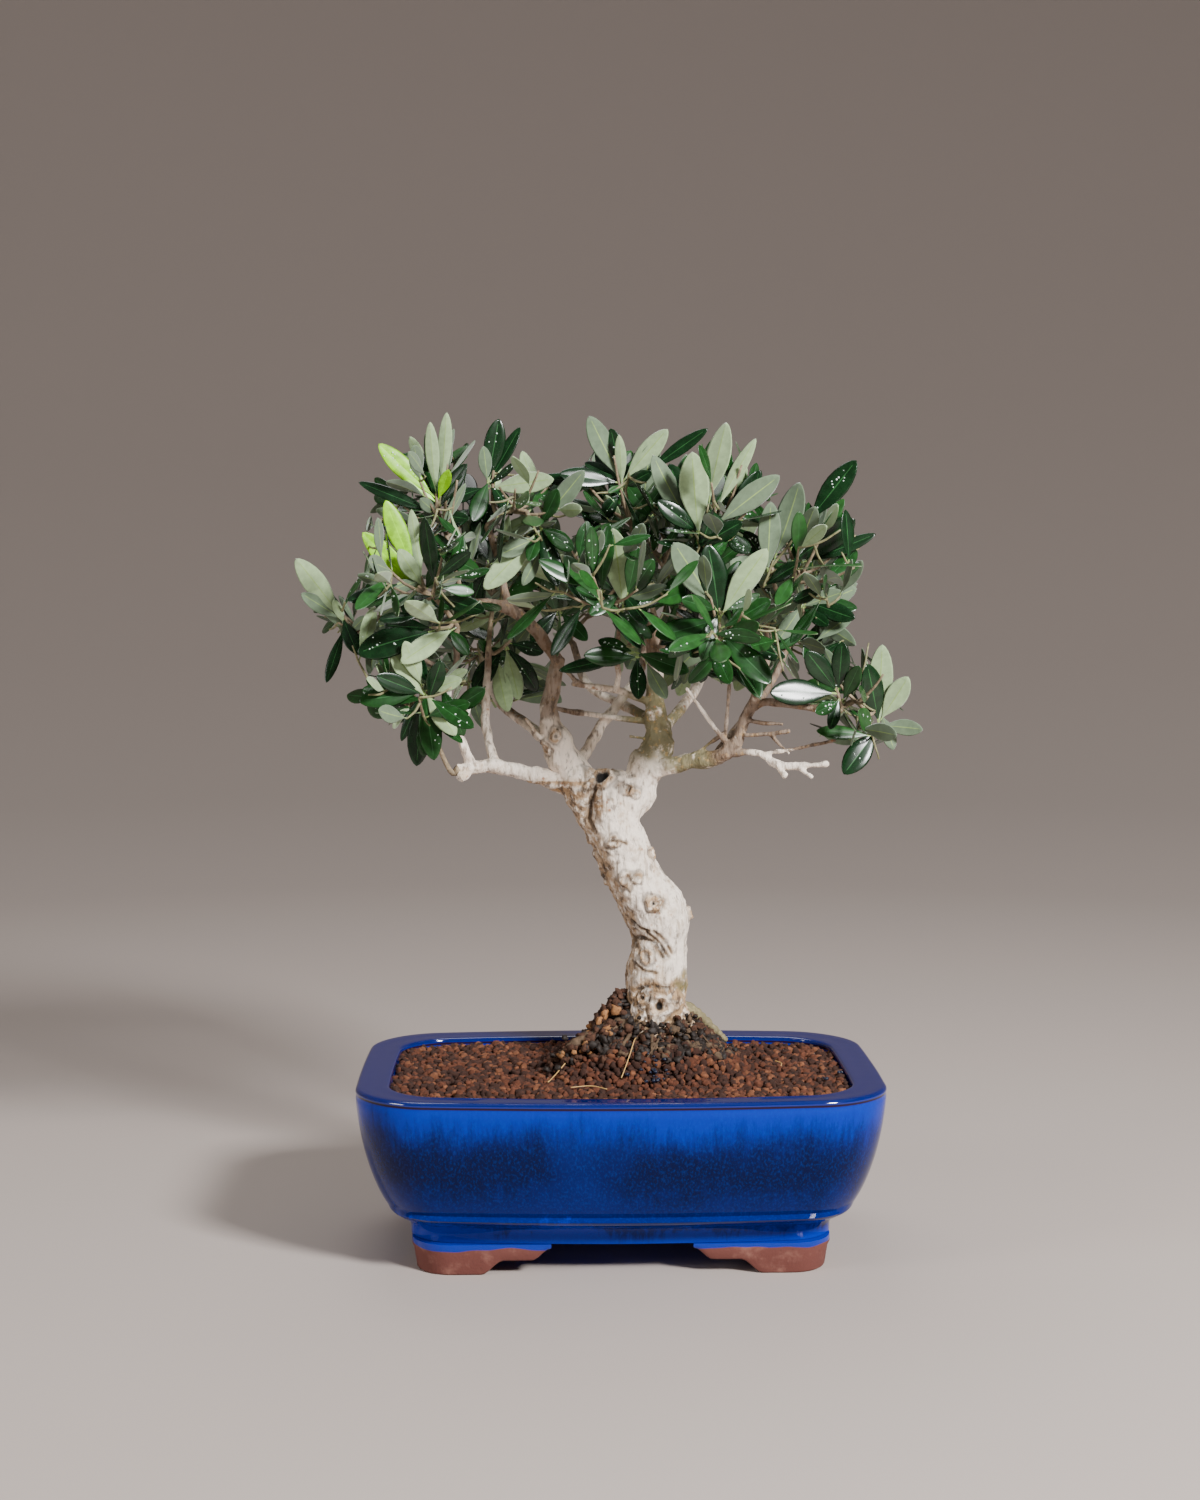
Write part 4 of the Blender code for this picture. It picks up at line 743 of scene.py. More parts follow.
def piece_from_arrays(name, points, faces, tones, materials, smooth=True):
    """Object at the pot's place from arrays of points, of faces of equal size and of their tones."""
    mesh = bpy.data.meshes.new(name)
    mesh.vertices.add(len(points))
    mesh.vertices.foreach_set("co", (points + np.array(PLACE)).astype(np.float32).ravel())
    mesh.loops.add(faces.size)
    mesh.loops.foreach_set("vertex_index", faces.astype(np.int32).ravel())
    mesh.polygons.add(len(faces))
    mesh.polygons.foreach_set("loop_start", np.arange(len(faces), dtype=np.int32) * faces.shape[1])
    for material in materials:
        mesh.materials.append(material)
    mesh.polygons.foreach_set("material_index", tones.astype(np.int32))
    mesh.update(calc_edges=True)
    if smooth:
        mesh.shade_smooth()
    piece = bpy.data.objects.new(name, mesh)
    bpy.context.scene.collection.objects.link(piece)
    return piece


def join_arrays(parts):
    """Stack (points, faces, tones) of many small closed shapes into one set."""
    points, faces, tones = [], [], []
    count = 0
    for some_points, some_faces, some_tones in parts:
        points.append(some_points)
        faces.append(some_faces + count)
        tones.append(some_tones)
        count += len(some_points)
    return np.concatenate(points), np.concatenate(faces), np.concatenate(tones)


def loft(rings):
    """Skin closed rings of equal count and cap both ends."""
    bm = bmesh.new()
    rows = [[bm.verts.new(point) for point in ring] for ring in rings]
    count = len(rows[0])
    for low, high in zip(rows, rows[1:]):
        for i in range(count):
            j = (i + 1) % count
            bm.faces.new((low[i], low[j], high[j], high[i]))
    bm.faces.new(list(reversed(rows[0])))
    bm.faces.new(rows[-1])
    return bm


def smoothstep(t):
    """Ease from 0 to 1."""
    t = min(max(t, 0.0), 1.0)
    return t * t * (3.0 - 2.0 * t)


def spline(stations, per_span):
    """Catmull-Rom points through stations of place and radius."""
    points = [Vector(s) for s in stations]
    ends = [points[0] * 2 - points[1]] + points + [points[-1] * 2 - points[-2]]
    result = []
    for a, b, c, d in zip(ends, ends[1:], ends[2:], ends[3:]):
        for i in range(per_span):
            t = i / per_span
            result.append(0.5 * (2 * b + (c - a) * t + (2 * a - 5 * b + 4 * c - d) * t ** 2
                                 + (3 * b - a - 3 * c + d) * t ** 3))
    result.append(points[-1])
    return result


def tube_rings(path, sides, grow=0.0, shape=None):
    """Rings round a path of places and radii, kept from twisting."""
    places = [Vector(p[:3]) for p in path]
    radii = [p[3] + grow for p in path]
    tangents = []
    for i in range(len(places)):
        before = places[max(i - 1, 0)]
        after = places[min(i + 1, len(places) - 1)]
        tangents.append((after - before).normalized())
    side = tangents[0].orthogonal()
    rings = []
    for place, radius, tangent in zip(places, radii, tangents):
        side = (side - tangent * side.dot(tangent)).normalized()
        across = tangent.cross(side)
        ring = []
        for i in range(sides):
            angle = 2 * math.pi * i / sides
            reach = radius * (shape(place, angle) if shape else 1.0)
            ring.append(place + side * reach * math.cos(angle) + across * reach * math.sin(angle))
        rings.append(ring)
    return rings


def pot_outline(inset, corner_steps=14, front_steps=26, side_steps=16):
    """Plan outline of the pot at an inset: a rectangle with round corners and bowed sides."""
    bow = 1.0 - inset / POT_DEPTH
    half_x = POT_WIDTH / 2 - SIDE_BOW - inset
    half_y = POT_DEPTH / 2 - FRONT_BOW - inset
    corner = max(POT_CORNER - POT_CORNER_SHRINK * inset, POT_CORNER_LEAST)
    points = []
    for sign_x, sign_y, start in ((1, -1, -90), (1, 1, 0), (-1, 1, 90), (-1, -1, 180)):
        centre_x = sign_x * (half_x - corner)
        centre_y = sign_y * (half_y - corner)
        for i in range(corner_steps + 1):
            angle = math.radians(start + 90 * i / corner_steps)
            points.append((centre_x + corner * math.cos(angle), centre_y + corner * math.sin(angle)))
        if sign_x == sign_y:
            for i in range(1, front_steps):
                points.append((centre_x * (1 - 2 * i / front_steps), sign_y * half_y))
        else:
            for i in range(1, side_steps):
                points.append((sign_x * half_x, centre_y * (1 - 2 * i / side_steps)))
    bowed = []
    for x, y in points:
        front = FRONT_BOW * bow * (1 - (x / half_x) ** 2) * abs(y) / half_y
        side = SIDE_BOW * bow * (1 - (y / half_y) ** 2) * abs(x) / half_x
        bowed.append((x + math.copysign(side, x), y + math.copysign(front, y)))
    return bowed


def belly_inset(z):
    """How far the pot's side stands in from the rim at a height."""
    t = (POT_TOP - z) / (POT_TOP - BELLY_FOOT)
    return BELLY_INSET * (1 - (1 - min(t, 1.0) ** BELLY_POWER) ** (1 / BELLY_POWER))


def rounded(inset, z, radius, start, steps=5):
    """Quarter turn of the profile round a middle, in degrees from the outward side."""
    turns = [math.radians(start + 90 * i / steps) for i in range(steps + 1)]
    return [(inset - radius * math.cos(a), z + radius * math.sin(a)) for a in turns]


def pot_profile():
    """Inset and height of the pot's rings, from the underside up and down inside."""
    rings = [(UNDERSIDE_INSET, POT_UNDERSIDE), (SKIRT_INSET + 0.0001, POT_UNDERSIDE + 0.0001)]
    rings += [(SKIRT_INSET, SKIRT_TOP - 0.0005), (SKIRT_INSET - 0.0004, SKIRT_TOP + 0.0006)]
    rings += [(BELLY_INSET + 0.0006, BELLY_FOOT - 0.0006), (BELLY_INSET, BELLY_FOOT)]
    steps = 26
    top = POT_TOP - LIP_ROUND - 0.0024
    for i in range(1, steps + 1):
        z = BELLY_FOOT + (top - BELLY_FOOT) * (i / steps) ** 1.4
        rings.append((belly_inset(z), z))
    # A shallow groove under the rounded edge, where the glaze breaks
    rings += [(0.0004, POT_TOP - LIP_ROUND - 0.0010), (0.0002, POT_TOP - LIP_ROUND - 0.0004)]
    rings += rounded(LIP_ROUND, POT_TOP - LIP_ROUND, LIP_ROUND, 0)
    rings += [(LIP_WIDTH * 0.35, POT_TOP - 0.0002), (LIP_WIDTH * 0.7, POT_TOP - 0.0002)]
    rings += rounded(LIP_WIDTH - 0.0012, POT_TOP - 0.0013, 0.0012, 90)[0:]
    rings += [(LIP_WIDTH, POT_TOP - LIP_DROP)]
    for z in (0.045, 0.030, FLOOR_TOP):
        rings.append((max(LIP_WIDTH, belly_inset(z) + WALL), z))
    return rings


def build_pot(pot):
    """Glazed shell with a rounded lip and slightly wandering sides."""
    rings = []
    for inset, z in pot_profile():
        ring = []
        for x, y in pot_outline(inset):
            if inset >= LIP_WIDTH * 0.9 and z > FLOOR_TOP and y < 0:
                y -= FRONT_LIP_TRIM * min(1.0, -2.4 * y / POT_DEPTH)
            out = Vector((x, y, 0)).normalized()
            wander = noise.noise(Vector((x, y, z)) * 35) * pot.wander
            ring.append(Vector((x, y, z)) - out * (pot.wander + wander))
        rings.append(ring)
    piece = new_piece("glazed_pot", loft(rings), [fired_cobalt_glaze(pot)])
    piece.data.shade_smooth()
    piece.data.set_sharp_from_angle(angle=math.radians(60))
    ride_root(piece, "glaze", "pot")


def foot_height(share):
    """Height of a foot's lower edge over the ground, along its reach from the corner."""
    top = POT_UNDERSIDE - GAP
    if share < FOOT_PAD_SHARE:
        return 0.0
    if share < FOOT_STEP_SHARE:
        return FOOT_STEP_HEIGHT * smoothstep((share - FOOT_PAD_SHARE) / FOOT_STEP_RUN)
    left = (share - FOOT_STEP_SHARE) / (1 - FOOT_STEP_SHARE)
    return FOOT_STEP_HEIGHT + (top - FOOT_END_THICKNESS - FOOT_STEP_HEIGHT) * smoothstep(left)


def foot_path():
    """Stations of one foot along the right front edge: outer point, inward direction, share of reach."""
    half_x = POT_WIDTH / 2 - SKIRT_INSET - FOOT_INSET
    half_y = POT_DEPTH / 2 - SKIRT_INSET - FOOT_INSET
    centre_x = half_x - FOOT_CORNER
    centre_y = FOOT_CORNER - half_y
    shares = [1.0 - i / 32 for i in range(31)]
    stations = []
    for share in shares:
        x = half_x - share * FOOT_FRONT_REACH
        if x < centre_x:
            stations.append(((x, -half_y), (0, 1), share))
    for i in range(13):
        angle = math.radians(90 * i / 12 - 90)
        out_x, out_y = math.cos(angle), math.sin(angle)
        place = (centre_x + FOOT_CORNER * out_x, centre_y + FOOT_CORNER * out_y)
        stations.append((place, (-out_x, -out_y), 0.0))
    for share in reversed(shares):
        y = share * FOOT_SIDE_REACH - half_y
        if y > centre_y:
            stations.append(((half_x, y), (-1, 0), share))
    return stations


def build_feet(pot):
    """Four bracket feet with softened edges, all of one clay."""
    clay = bare_stoneware(pot)
    top = POT_UNDERSIDE - 0.00005
    for side, sign_x in (("left", -1), ("right", 1)):
        for end, sign_y in (("front", -1), ("back", 1)):
            rings = []
            for (x, y), (nx, ny), share in foot_path():
                low = foot_height(share)
                lean = FOOT_LEAN * (top - low) / top
                ease = min(0.0008, (top - low) * 0.3)
                ring = []
                tall = top - low
                for inward, z in ((0.0, top), (0.0, top - min(0.0026, tall * 0.4)),
                                  (lean * 0.4, top - min(0.0044, tall * 0.6)), (lean - 0.0001, low + ease),
                                  (lean + ease * 0.35, low + ease * 0.3), (lean + ease, low),
                                  (FOOT_WALL - ease, low), (FOOT_WALL, low + ease), (FOOT_WALL, top)):
                    point = Vector((x + nx * inward, y + ny * inward, z))
                    rough = noise.noise(point * 160 + Vector((sign_x, sign_y, 0)) * 3) * 0.00012
                    keep = 1.0 if low < z < top - 0.001 else 0.0
                    point -= Vector((nx, ny, 0)) * rough * keep * (1 if inward < FOOT_WALL / 2 else -1)
                    ring.append((sign_x * point.x, -sign_y * point.y, point.z))
                rings.append(ring)
            piece = new_piece(f"clay_foot_{end}_{side}", loft(rings), [clay])
            piece.data.shade_smooth()
            piece.data.set_sharp_from_angle(angle=math.radians(55))
            ride_root(piece, "clay", f"foot_{end}_{side}")


def grit_height(x, y):
    """Level of the grit: nearly flat, with a heap round the trunk's foot."""
    foot_x, foot_y = TRUNK[0][:2]
    reach_x = MOUND_LEFT if x < foot_x else MOUND_RIGHT
    distance = math.hypot((x - foot_x) / reach_x, (y - foot_y) / MOUND_DEPTH)
    pad = PAD_RADIUS / MOUND_DEPTH
    rise = smoothstep((1.0 - distance) / (1.0 - pad))
    dome = GRIT_DOME * (1 - (2 * x / POT_WIDTH) ** 2) * (1 - (2 * y / POT_DEPTH) ** 2)
    return GRIT_EDGE + dome * (1 - rise) + (GRIT_PAD - GRIT_EDGE) * rise


def lump(rng, size, rough=0.3, squash=0.8):
    """Points and triangles of an angular lump about size across."""
    bm = bmesh.new()
    bmesh.ops.create_icosphere(bm, subdivisions=2, radius=size / 2)
    shift = Vector([rng.uniform(-9, 9) for _ in range(3)])
    scale = Vector((rng.uniform(0.85, 1.2), rng.uniform(0.85, 1.2), squash * rng.uniform(0.85, 1.15)))
    for vertex in bm.verts:
        out = vertex.co.normalized()
        swell = 1 + rough * noise.noise(out * 1.3 + shift) + rough * 0.55 * noise.noise(out * 3.1 + shift)
        vertex.co = Vector([a * b for a, b in zip(vertex.co * swell, scale)])
    points = np.array([v.co[:] for v in bm.verts])
    faces = np.array([[v.index for v in f.verts] for f in bm.faces])
    bm.free()
    return points, faces


def turned(points, rng, place):
    """Points turned at random and moved to a place."""
    turn = Matrix.Rotation(rng.uniform(0, 6.283), 3, Vector([rng.gauss(0, 1) for _ in range(3)]).normalized())
    return points @ np.array(turn).T + np.array(place)


def inside_opening(x, y, inset):
    """Whether a place is inside the pot's opening by an inset."""
    half_x = POT_WIDTH / 2 - LIP_WIDTH - inset
    half_y = POT_DEPTH / 2 - LIP_WIDTH - inset - FRONT_BOW * 0.9 * (x / half_x) ** 2
    half_y += FRONT_LIP_TRIM if y < 0 else 0.0
    corner = 0.018
    over_x = max(abs(x) - (half_x - corner), 0.0)
    over_y = max(abs(y) - (half_y - corner), 0.0)
    return abs(x) < half_x and abs(y) < half_y and math.hypot(over_x, over_y) < corner


def build_grit(grit):
    """Bed of the filling, and two layers of loose grains on it."""
    bed_rings = []
    for z in (FLOOR_TOP + GAP, 0.045, 0.062):
        inset = max(LIP_WIDTH, belly_inset(z) + WALL) + GAP
        bed_rings.append([(x, y, z) for x, y in pot_outline(inset, 8, 12, 8)])
    edge = pot_outline(LIP_WIDTH + GAP, 8, 12, 8)
    foot_x, foot_y = TRUNK[0][:2]
    for share in (0.0, 0.15, 0.3, 0.45, 0.6, 0.75, 0.9, 1.0):
        ring = []
        for x, y in edge:
            px = x + (foot_x + (x - foot_x) * 0.05 - x) * share
            py = y + (foot_y + (y - foot_y) * 0.05 - y) * share
            ring.append((px, py, grit_height(px, py) - 0.0024))
        bed_rings.append(ring)
    bed = new_piece("grit_bed", loft(bed_rings), [baked_clay_grain("packed_grit", tuple(grit.dark))])
    bed.data.shade_smooth()
    ride_root(bed, "soil", "grit")
    rng = random.Random(7)
    shapes = [lump(rng, 1.0, 0.62) for _ in range(14)]
    shades = (grit.red, grit.dark, grit.light, grit.humus)
    tones = (0, 0, 0, 1, 1, 1, 1, 2)
    materials = [baked_clay_grain(f"baked_clay_grain_{i}", tuple(s)) for i, s in enumerate(shades)]
    step = grit.spacing
    parts = []
    for layer, (drop, share) in enumerate(((0.0016, 1.0), (0.0, 0.86))):
        rows = int(POT_DEPTH / (step * 0.87))
        for row in range(-rows // 2, rows // 2 + 1):
            for column in range(-int(POT_WIDTH / step / 2), int(POT_WIDTH / step / 2) + 1):
                x = (column + 0.5 * (row % 2) + 0.45 * layer) * step + rng.uniform(-1, 1) * step * 0.28
                y = (row + 0.33 * layer) * step * 0.87 + rng.uniform(-1, 1) * step * 0.28
                size = grit.grain * rng.uniform(0.75, 1.3)
                if not inside_opening(x, y, size * 0.45) or rng.random() > share:
                    continue
                away = math.hypot(x - foot_x, y - foot_y)
                if away < 0.015:
                    continue
                near = smoothstep((0.031 - away) / 0.012)
                tone = 3 if rng.random() < near * 0.85 else rng.choice(tones)
                z = grit_height(x, y) - drop - 0.0006 + rng.uniform(-0.0005, 0.0007)
                points, faces = rng.choice(shapes)
                parts.append((turned(points * size, rng, (x, y, z)), faces, np.full(len(faces), tone)))
    limit = 190000 // len(shapes[0][1])
    for number, first in enumerate(range(0, len(parts), limit)):
        grains = piece_from_arrays(f"grains_{number}", *join_arrays(parts[first:first + limit]), materials,
                                   smooth=False)
        ride_root(grains, "soil")


def tube_arrays(path, sides, tone):
    """Arrays of a closed tube along a path."""
    rings = tube_rings(path, sides)
    points = [p[:] for ring in rings for p in ring]
    points += [Vector(path[0][:3])[:], Vector(path[-1][:3])[:]]
    faces = []
    last = len(rings) - 1
    for i in range(last):
        for j in range(sides):
            k = (j + 1) % sides
            low, high = i * sides, (i + 1) * sides
            faces.append((low + j, low + k, high + k))
            faces.append((low + j, high + k, high + j))
    for j in range(sides):
        k = (j + 1) % sides
        faces.append((len(points) - 2, k, j))
        faces.append((len(points) - 1, last * sides + j, last * sides + k))
    return np.array(points), np.array(faces), np.full(len(faces), tone)


def build_roots(grit):
    """Surface roots on the heap, black humus lumps round them, fibres and crumbs."""
    rng = random.Random(19)
    foot_x, foot_y = TRUNK[0][:2]
    parts = []
    shapes = [lump(rng, 1.0, 0.8, 0.75) for _ in range(14)]
    for name, stations in ROOTS.items():
        path = wavy([(*p[:3], p[3] * (1 + 0.25 * rng.uniform(-1, 1))) for p in spline(stations, 9)], name)
        parts.append(tube_arrays(path, 9, 2 if name == "root_right" else 1))
        # Clods that bank up against each root, higher on the left
        left = name == "root_left"
        for _ in range(260 if left else 90):
            share = rng.random()
            x, y, z, radius = path[int(share * (len(path) - 1))]
            x += rng.gauss(0, 0.0030)
            y += rng.gauss(0, 0.0040) - (0.0015 if left else 0.0)
            rise = rng.random() * (1.0 if left else 0.6)
            ground = grit_height(x, y)
            level = ground + min(max(0.0, z + (0.003 if left else -0.003) - ground), 0.006) * rise
            points, faces = rng.choice(shapes)
            size = rng.uniform(0.0018, 0.0042)
            tone = rng.choice((0, 0, 3, 3, 3, 4)) if left else rng.choice((0, 0, 3))
            parts.append((turned(points * size, rng, (x, y, level)), faces, np.full(len(faces), tone)))
    for _ in range(230):
        angle, out = math.radians(rng.uniform(150, 232)), 0.020 * rng.random() ** 1.3
        away = foot_x - trunk_left_edge(0.096) + out
        x, y = foot_x + away * math.cos(angle), foot_y + away * math.sin(angle)
        ground = grit_height(x, y)
        fade = smoothstep(1 - abs(angle - math.radians(188)) / math.radians(46))
        top = ground + (0.1035 - ground) * smoothstep(1 - out / 0.021) * fade
        place = (x, y, top - 0.0030 * rng.random() ** 2)
        points, faces = rng.choice(shapes)
        tone = rng.choice((0, 0, 3, 3, 3, 4))
        points = turned(points * rng.uniform(0.0020, 0.0040), rng, place)
        parts.append((points, faces, np.full(len(faces), tone)))
    for k in range(26):
        angle = k * GOLDEN_ANGLE + rng.uniform(-0.3, 0.3)
        reach = rng.uniform(0.020, 0.036)
        radius = rng.uniform(0.0006, 0.0017)
        path = []
        bend = rng.uniform(-0.5, 0.5)
        for i in range(9):
            t = i / 8
            away = 0.012 + (reach - 0.012) * t
            x = foot_x + away * math.cos(angle + bend * t)
            y = foot_y + away * math.sin(angle + bend * t)
            z = grit_height(x, y) + 0.0070 * (1 - t) ** 2 + rng.uniform(0, 0.0006) - 0.0005 * t * t
            path.append((x, y, z, radius * (1 - 0.65 * t)))
        parts.append(tube_arrays(path, 6, rng.choice((0, 1, 1))))
    for k in range(760):
        angle = rng.uniform(0, 2 * math.pi)
        away = 0.0135 + 0.017 * rng.random() ** 1.6
        x, y = foot_x + away * math.cos(angle), foot_y + away * math.sin(angle)
        size = rng.uniform(0.0015, 0.0036)
        points, faces = rng.choice(shapes)
        bank = 0.0090 * smoothstep((0.0225 - away) / 0.008) * rng.random() ** 0.6
        place = (x, y, grit_height(x, y) + rng.uniform(-0.0008, 0.0012) + bank)
        tone = rng.choice((0, 0, 0, 3, 3, 1))
        parts.append((turned(points * size, rng, place), faces, np.full(len(faces), tone)))
    shades = [baked_clay_grain("wet_humus", tuple(grit.humus), 0.7),
              baked_clay_grain("root_bark", tuple(grit.root), 0.85),
              baked_clay_grain("live_root_bark", srgb("8A7F5C"), 0.75),
              baked_clay_grain("brown_clod", srgb("4A2C1A"), 0.9),
              baked_clay_grain("bark_chip", srgb("9A6A40"), 0.9)]
    roots = piece_from_arrays("surface_roots", *join_arrays(parts), shades, smooth=False)
    ride_root(roots, "bark", "root_left", "root_right")
    build_litter(grit)


def on_grit(x, y, lift=0.0015):
    """Place on the grains' tops, in metres."""
    return (x, y, grit_height(x, y) + lift)


def build_litter(grit):
    """Dry fibres and dark crumbs that lie on the grit."""
    strokes = (((0.0075, -0.004), (0.0050, -0.020), (0.0000, -0.034)),
               ((-0.0289, -0.0333), (-0.0240, -0.0180), (-0.0109, -0.0050)),
               ((0.0647, 0.0051), (0.0668, 0.0010), (0.0662, -0.0045)),
               ((-0.0200, -0.0420), (-0.0120, -0.0400), (-0.0060, -0.0450)))
    parts = []
    for stroke in strokes:
        path = [(*on_grit(p[0], p[1], 0.0022), p[2]) for p in
                spline([(*s, 0.00022) for s in stroke], 8)]
        parts.append(tube_arrays(path, 5, 0))
    rng = random.Random(31)
    crumbs = (((0.0130, -0.0330), 26, 0.0050), ((0.0818, -0.0234), 2, 0.001), ((0.0893, -0.0127), 2, 0.001))
    for (x, y), count, spread in crumbs:
        for _ in range(count):
            points, faces = lump(rng, rng.uniform(0.0007, 0.0019), 0.5)
            place = on_grit(x + rng.gauss(0, spread) * 0.6, y + rng.gauss(0, spread) * 0.8, 0.0018)
            parts.append((points + np.array(place), faces, np.full(len(faces), 1)))
    fibre = new_material("dry_grass_fibre", {"Base Color": tuple(grit.fibre), "Roughness": 0.6})[0]
    crumb = new_material("blue_black_crumb", {"Base Color": srgb("141C30"), "Roughness": 0.35})[0]
    litter = piece_from_arrays("litter", *join_arrays(parts), [fibre, crumb])
    ride_root(litter, "soil")


def flare(place, angle):
    """Share by which a root lobe widens the trunk near the ground."""
    fall = math.exp(-(place.z - TRUNK[0][2]) / FLARE_HEIGHT)
    return 1.0 + FLARE_DEPTH / TRUNK[0][3] * fall * math.cos(FLARE_LOBES * angle)


def limb_paths():
    """Fine paths of the trunk, every bough and every stub."""
    paths = {"trunk": spline(TRUNK, 8)}
    for name, stations in BOUGHS.items():
        paths[name] = spline(stations, 8)
    for number, (start, end, radius) in enumerate(STUBS):
        middle = Vector(start).lerp(Vector(end), 0.5) + Vector((0, 0, -0.0004))
        stations = ((*start, radius * 1.15), (*middle, radius), (*end, radius * 0.85))
        paths[f"stub_{number}"] = spline(stations, 5)
    return paths


def wavy(path, name):
    """Path with the small kinks and swellings of old wood."""
    rng = random.Random(name)
    shift = rng.uniform(0, 50)
    result = []
    for i, point in enumerate(path):
        ease = min(1.0, i / 4, (len(path) - 1 - i) / 4)
        key = Vector((shift, i * 0.35, 0))
        side = noise.noise_vector(key) * point[3] * 0.30 * ease
        swell = 1 + 0.16 * noise.noise(key + Vector((0, 0, 9)))
        result.append((point[0] + side.x, point[1] + side.y, point[2] + side.z * 0.4, point[3] * swell))
    return result


def fused_limbs(voxel):
    """Trunk, boughs and stubs grown together as one mesh of fine voxels."""
    whole = bmesh.new()
    for name, path in limb_paths().items():
        if name == "trunk":
            rings = tube_rings(path, 40, 0.0, flare)
            ground = TRUNK[0][2] - 0.0035
            rings[0] = [Vector((p.x, p.y, ground)) for p in rings[0]]
            # The old cut at the fork, grown over into a lump
            top = Vector(TRUNK[-1][:3])
            rim = rings[-1]
            for share, lift in ((0.97, 0.0024), (0.86, 0.0046), (0.60, 0.0060), (0.25, 0.0064)):
                rings.append([top + (p - top) * share + Vector((0.0012 * share, 0, lift)) for p in rim])
        else:
            rings = tube_rings(wavy(path, name), 20 if path[0][3] > 0.004 else 12)
        limb = loft(rings)
        mesh = bpy.data.meshes.new("limb")
        limb.to_mesh(mesh)
        limb.free()
        whole.from_mesh(mesh)
        bpy.data.meshes.remove(mesh)
    mesh = bpy.data.meshes.new("limbs")
    whole.to_mesh(mesh)
    whole.free()
    limbs = bpy.data.objects.new("limbs", mesh)
    bpy.context.scene.collection.objects.link(limbs)
    remesh = limbs.modifiers.new("fuse", "REMESH")
    remesh.mode = "VOXEL"
    remesh.voxel_size = voxel
    soften = limbs.modifiers.new("soften", "SMOOTH")
    soften.factor = 0.5
    soften.iterations = 2
    graph = bpy.context.evaluated_depsgraph_get()
    fused = bpy.data.meshes.new_from_object(limbs.evaluated_get(graph))
    bpy.data.objects.remove(limbs, do_unlink=True)
    return fused


def knot_shape(point):
    """Height that the knots add at a place, the painted shade in their holes and folds, and how tan and clean
    the bark is there.
    """
    height, dark, tan, clean = 0.0, 0.0, 0.0, 0.0
    for middle, out, radius, ridge, depth in KNOTS:
        way = point - Vector(middle)
        if way.length > radius * 4:
            continue
        out = Vector(out).normalized()
        deep = way.dot(out)
        wobble = 0.45 * noise.noise(point * 190) + 0.25 * noise.noise(point * 420)
        away = (way - out * deep).length / radius * (1 + wobble)
        if abs(deep) < 0.006 and away < 3.0:
            height += ridge * math.exp(-((away - 1.0) / 0.35) ** 2) - depth * math.exp(-(away / 0.50) ** 2)
            height += 0.0005 * math.exp(-(away / 1.9) ** 2)
            ring = math.exp(-((away - 0.95) / 0.5) ** 2)
            tan = max(tan, ring)
            # Bark folds down round the knot's rim, with painted shade in the fold
            dark = max(dark, 0.55 * math.exp(-((away - 1.65) / 0.24) ** 2))
            height -= 0.0004 * math.exp(-((away - 1.65) / 0.3) ** 2)
            if 0.003 < radius < 0.004:
                # The wide scar at the foot has a cleaner rim
                clean = max(clean, 0.45 * ring)
            # The hole's deadwood, darkened further as painted shade
            if depth > 0.00035:
                wide = 0.52 if depth < 0.003 else 0.80
                dark = max(dark, smoothstep((wide - away) / 0.22) * min(1.0, depth / 0.0010))
    return height, dark, tan, clean


def furrow_shape(point):
    """Height that the furrows take away at a place, and the painted shade in them there."""
    height, dark = 0.0, 0.0
    if point.y > 0.004:
        return height, dark
    flat = Vector((point.x, point.z))
    for line, half, depth in FURROWS:
        for a, b in zip(line, line[1:]):
            start, end = Vector(a), Vector(b)
            along = end - start
            t = min(max((flat - start).dot(along) / along.length_squared, 0.0), 1.0)
            away = (start + along * t - flat).length / half
            if away < 3.0:
                cut = math.exp(-away * away)
                height = min(height, -depth * cut + 0.25 * depth * math.exp(-((away - 1.7) / 0.5) ** 2))
                dark = max(dark, math.exp(-(away / 1.7) ** 2))
    return height, dark


def bark_layers(point, dark, tan, clean):
    """Shares of moss, brown twig bark, deadwood with painted shade, and rough tan bark with painted shade on
    the trunk's left side, at a place.
    """
    x, y, z = point
    wander = noise.noise(Vector(point) * 220) * 0.004
    moss = smoothstep((0.024 - math.dist(point, (0.0175, 0.006, 0.212)) + wander) / 0.010)
    moss = max(moss, smoothstep((0.014 - math.dist(point, (0.031, -0.008, 0.198)) + wander) / 0.006))
    moss = max(moss, smoothstep((0.007 - math.dist(point, (0.0257, 0.000, 0.107)) + wander) / 0.005))
    brown = smoothstep((z - 0.228 + wander) / 0.012) * 0.9
    if x < -0.014:
        brown = max(brown, smoothstep((z - 0.211 + wander) / 0.006) * 0.75 * smoothstep((x + 0.058) / 0.01))
    if x > 0.030:
        brown = max(brown, smoothstep((x - 0.036 + wander) / 0.010) * (0.9 if z > 0.2038 else 0.0))
        brown = max(brown, smoothstep((0.012 - math.dist(point, (0.044, -0.013, 0.204))) / 0.006) * 0.9)
    crease = smoothstep((0.0026 - abs(x + 0.0088 + wander * 0.2)) / 0.0012) * smoothstep((0.190 - z) / 0.002)
    crease *= smoothstep((z - 0.172) / 0.006) * (1.0 if y < 0 else 0.0)
    foot = smoothstep((0.114 - z + wander * 1.5) / 0.010)
    # The trunk's left side: rough tan bark, and partly painted shade for the side away from the key light
    left = smoothstep((trunk_left_edge(z) + 0.0070 - x + wander) / 0.006) if z < 0.19 else 0.0
    tan = max(tan, foot, 0.9 * left, crease) * (1 - 0.9 * clean)
    return moss, max(brown, 0.45 * crease), dark, tan


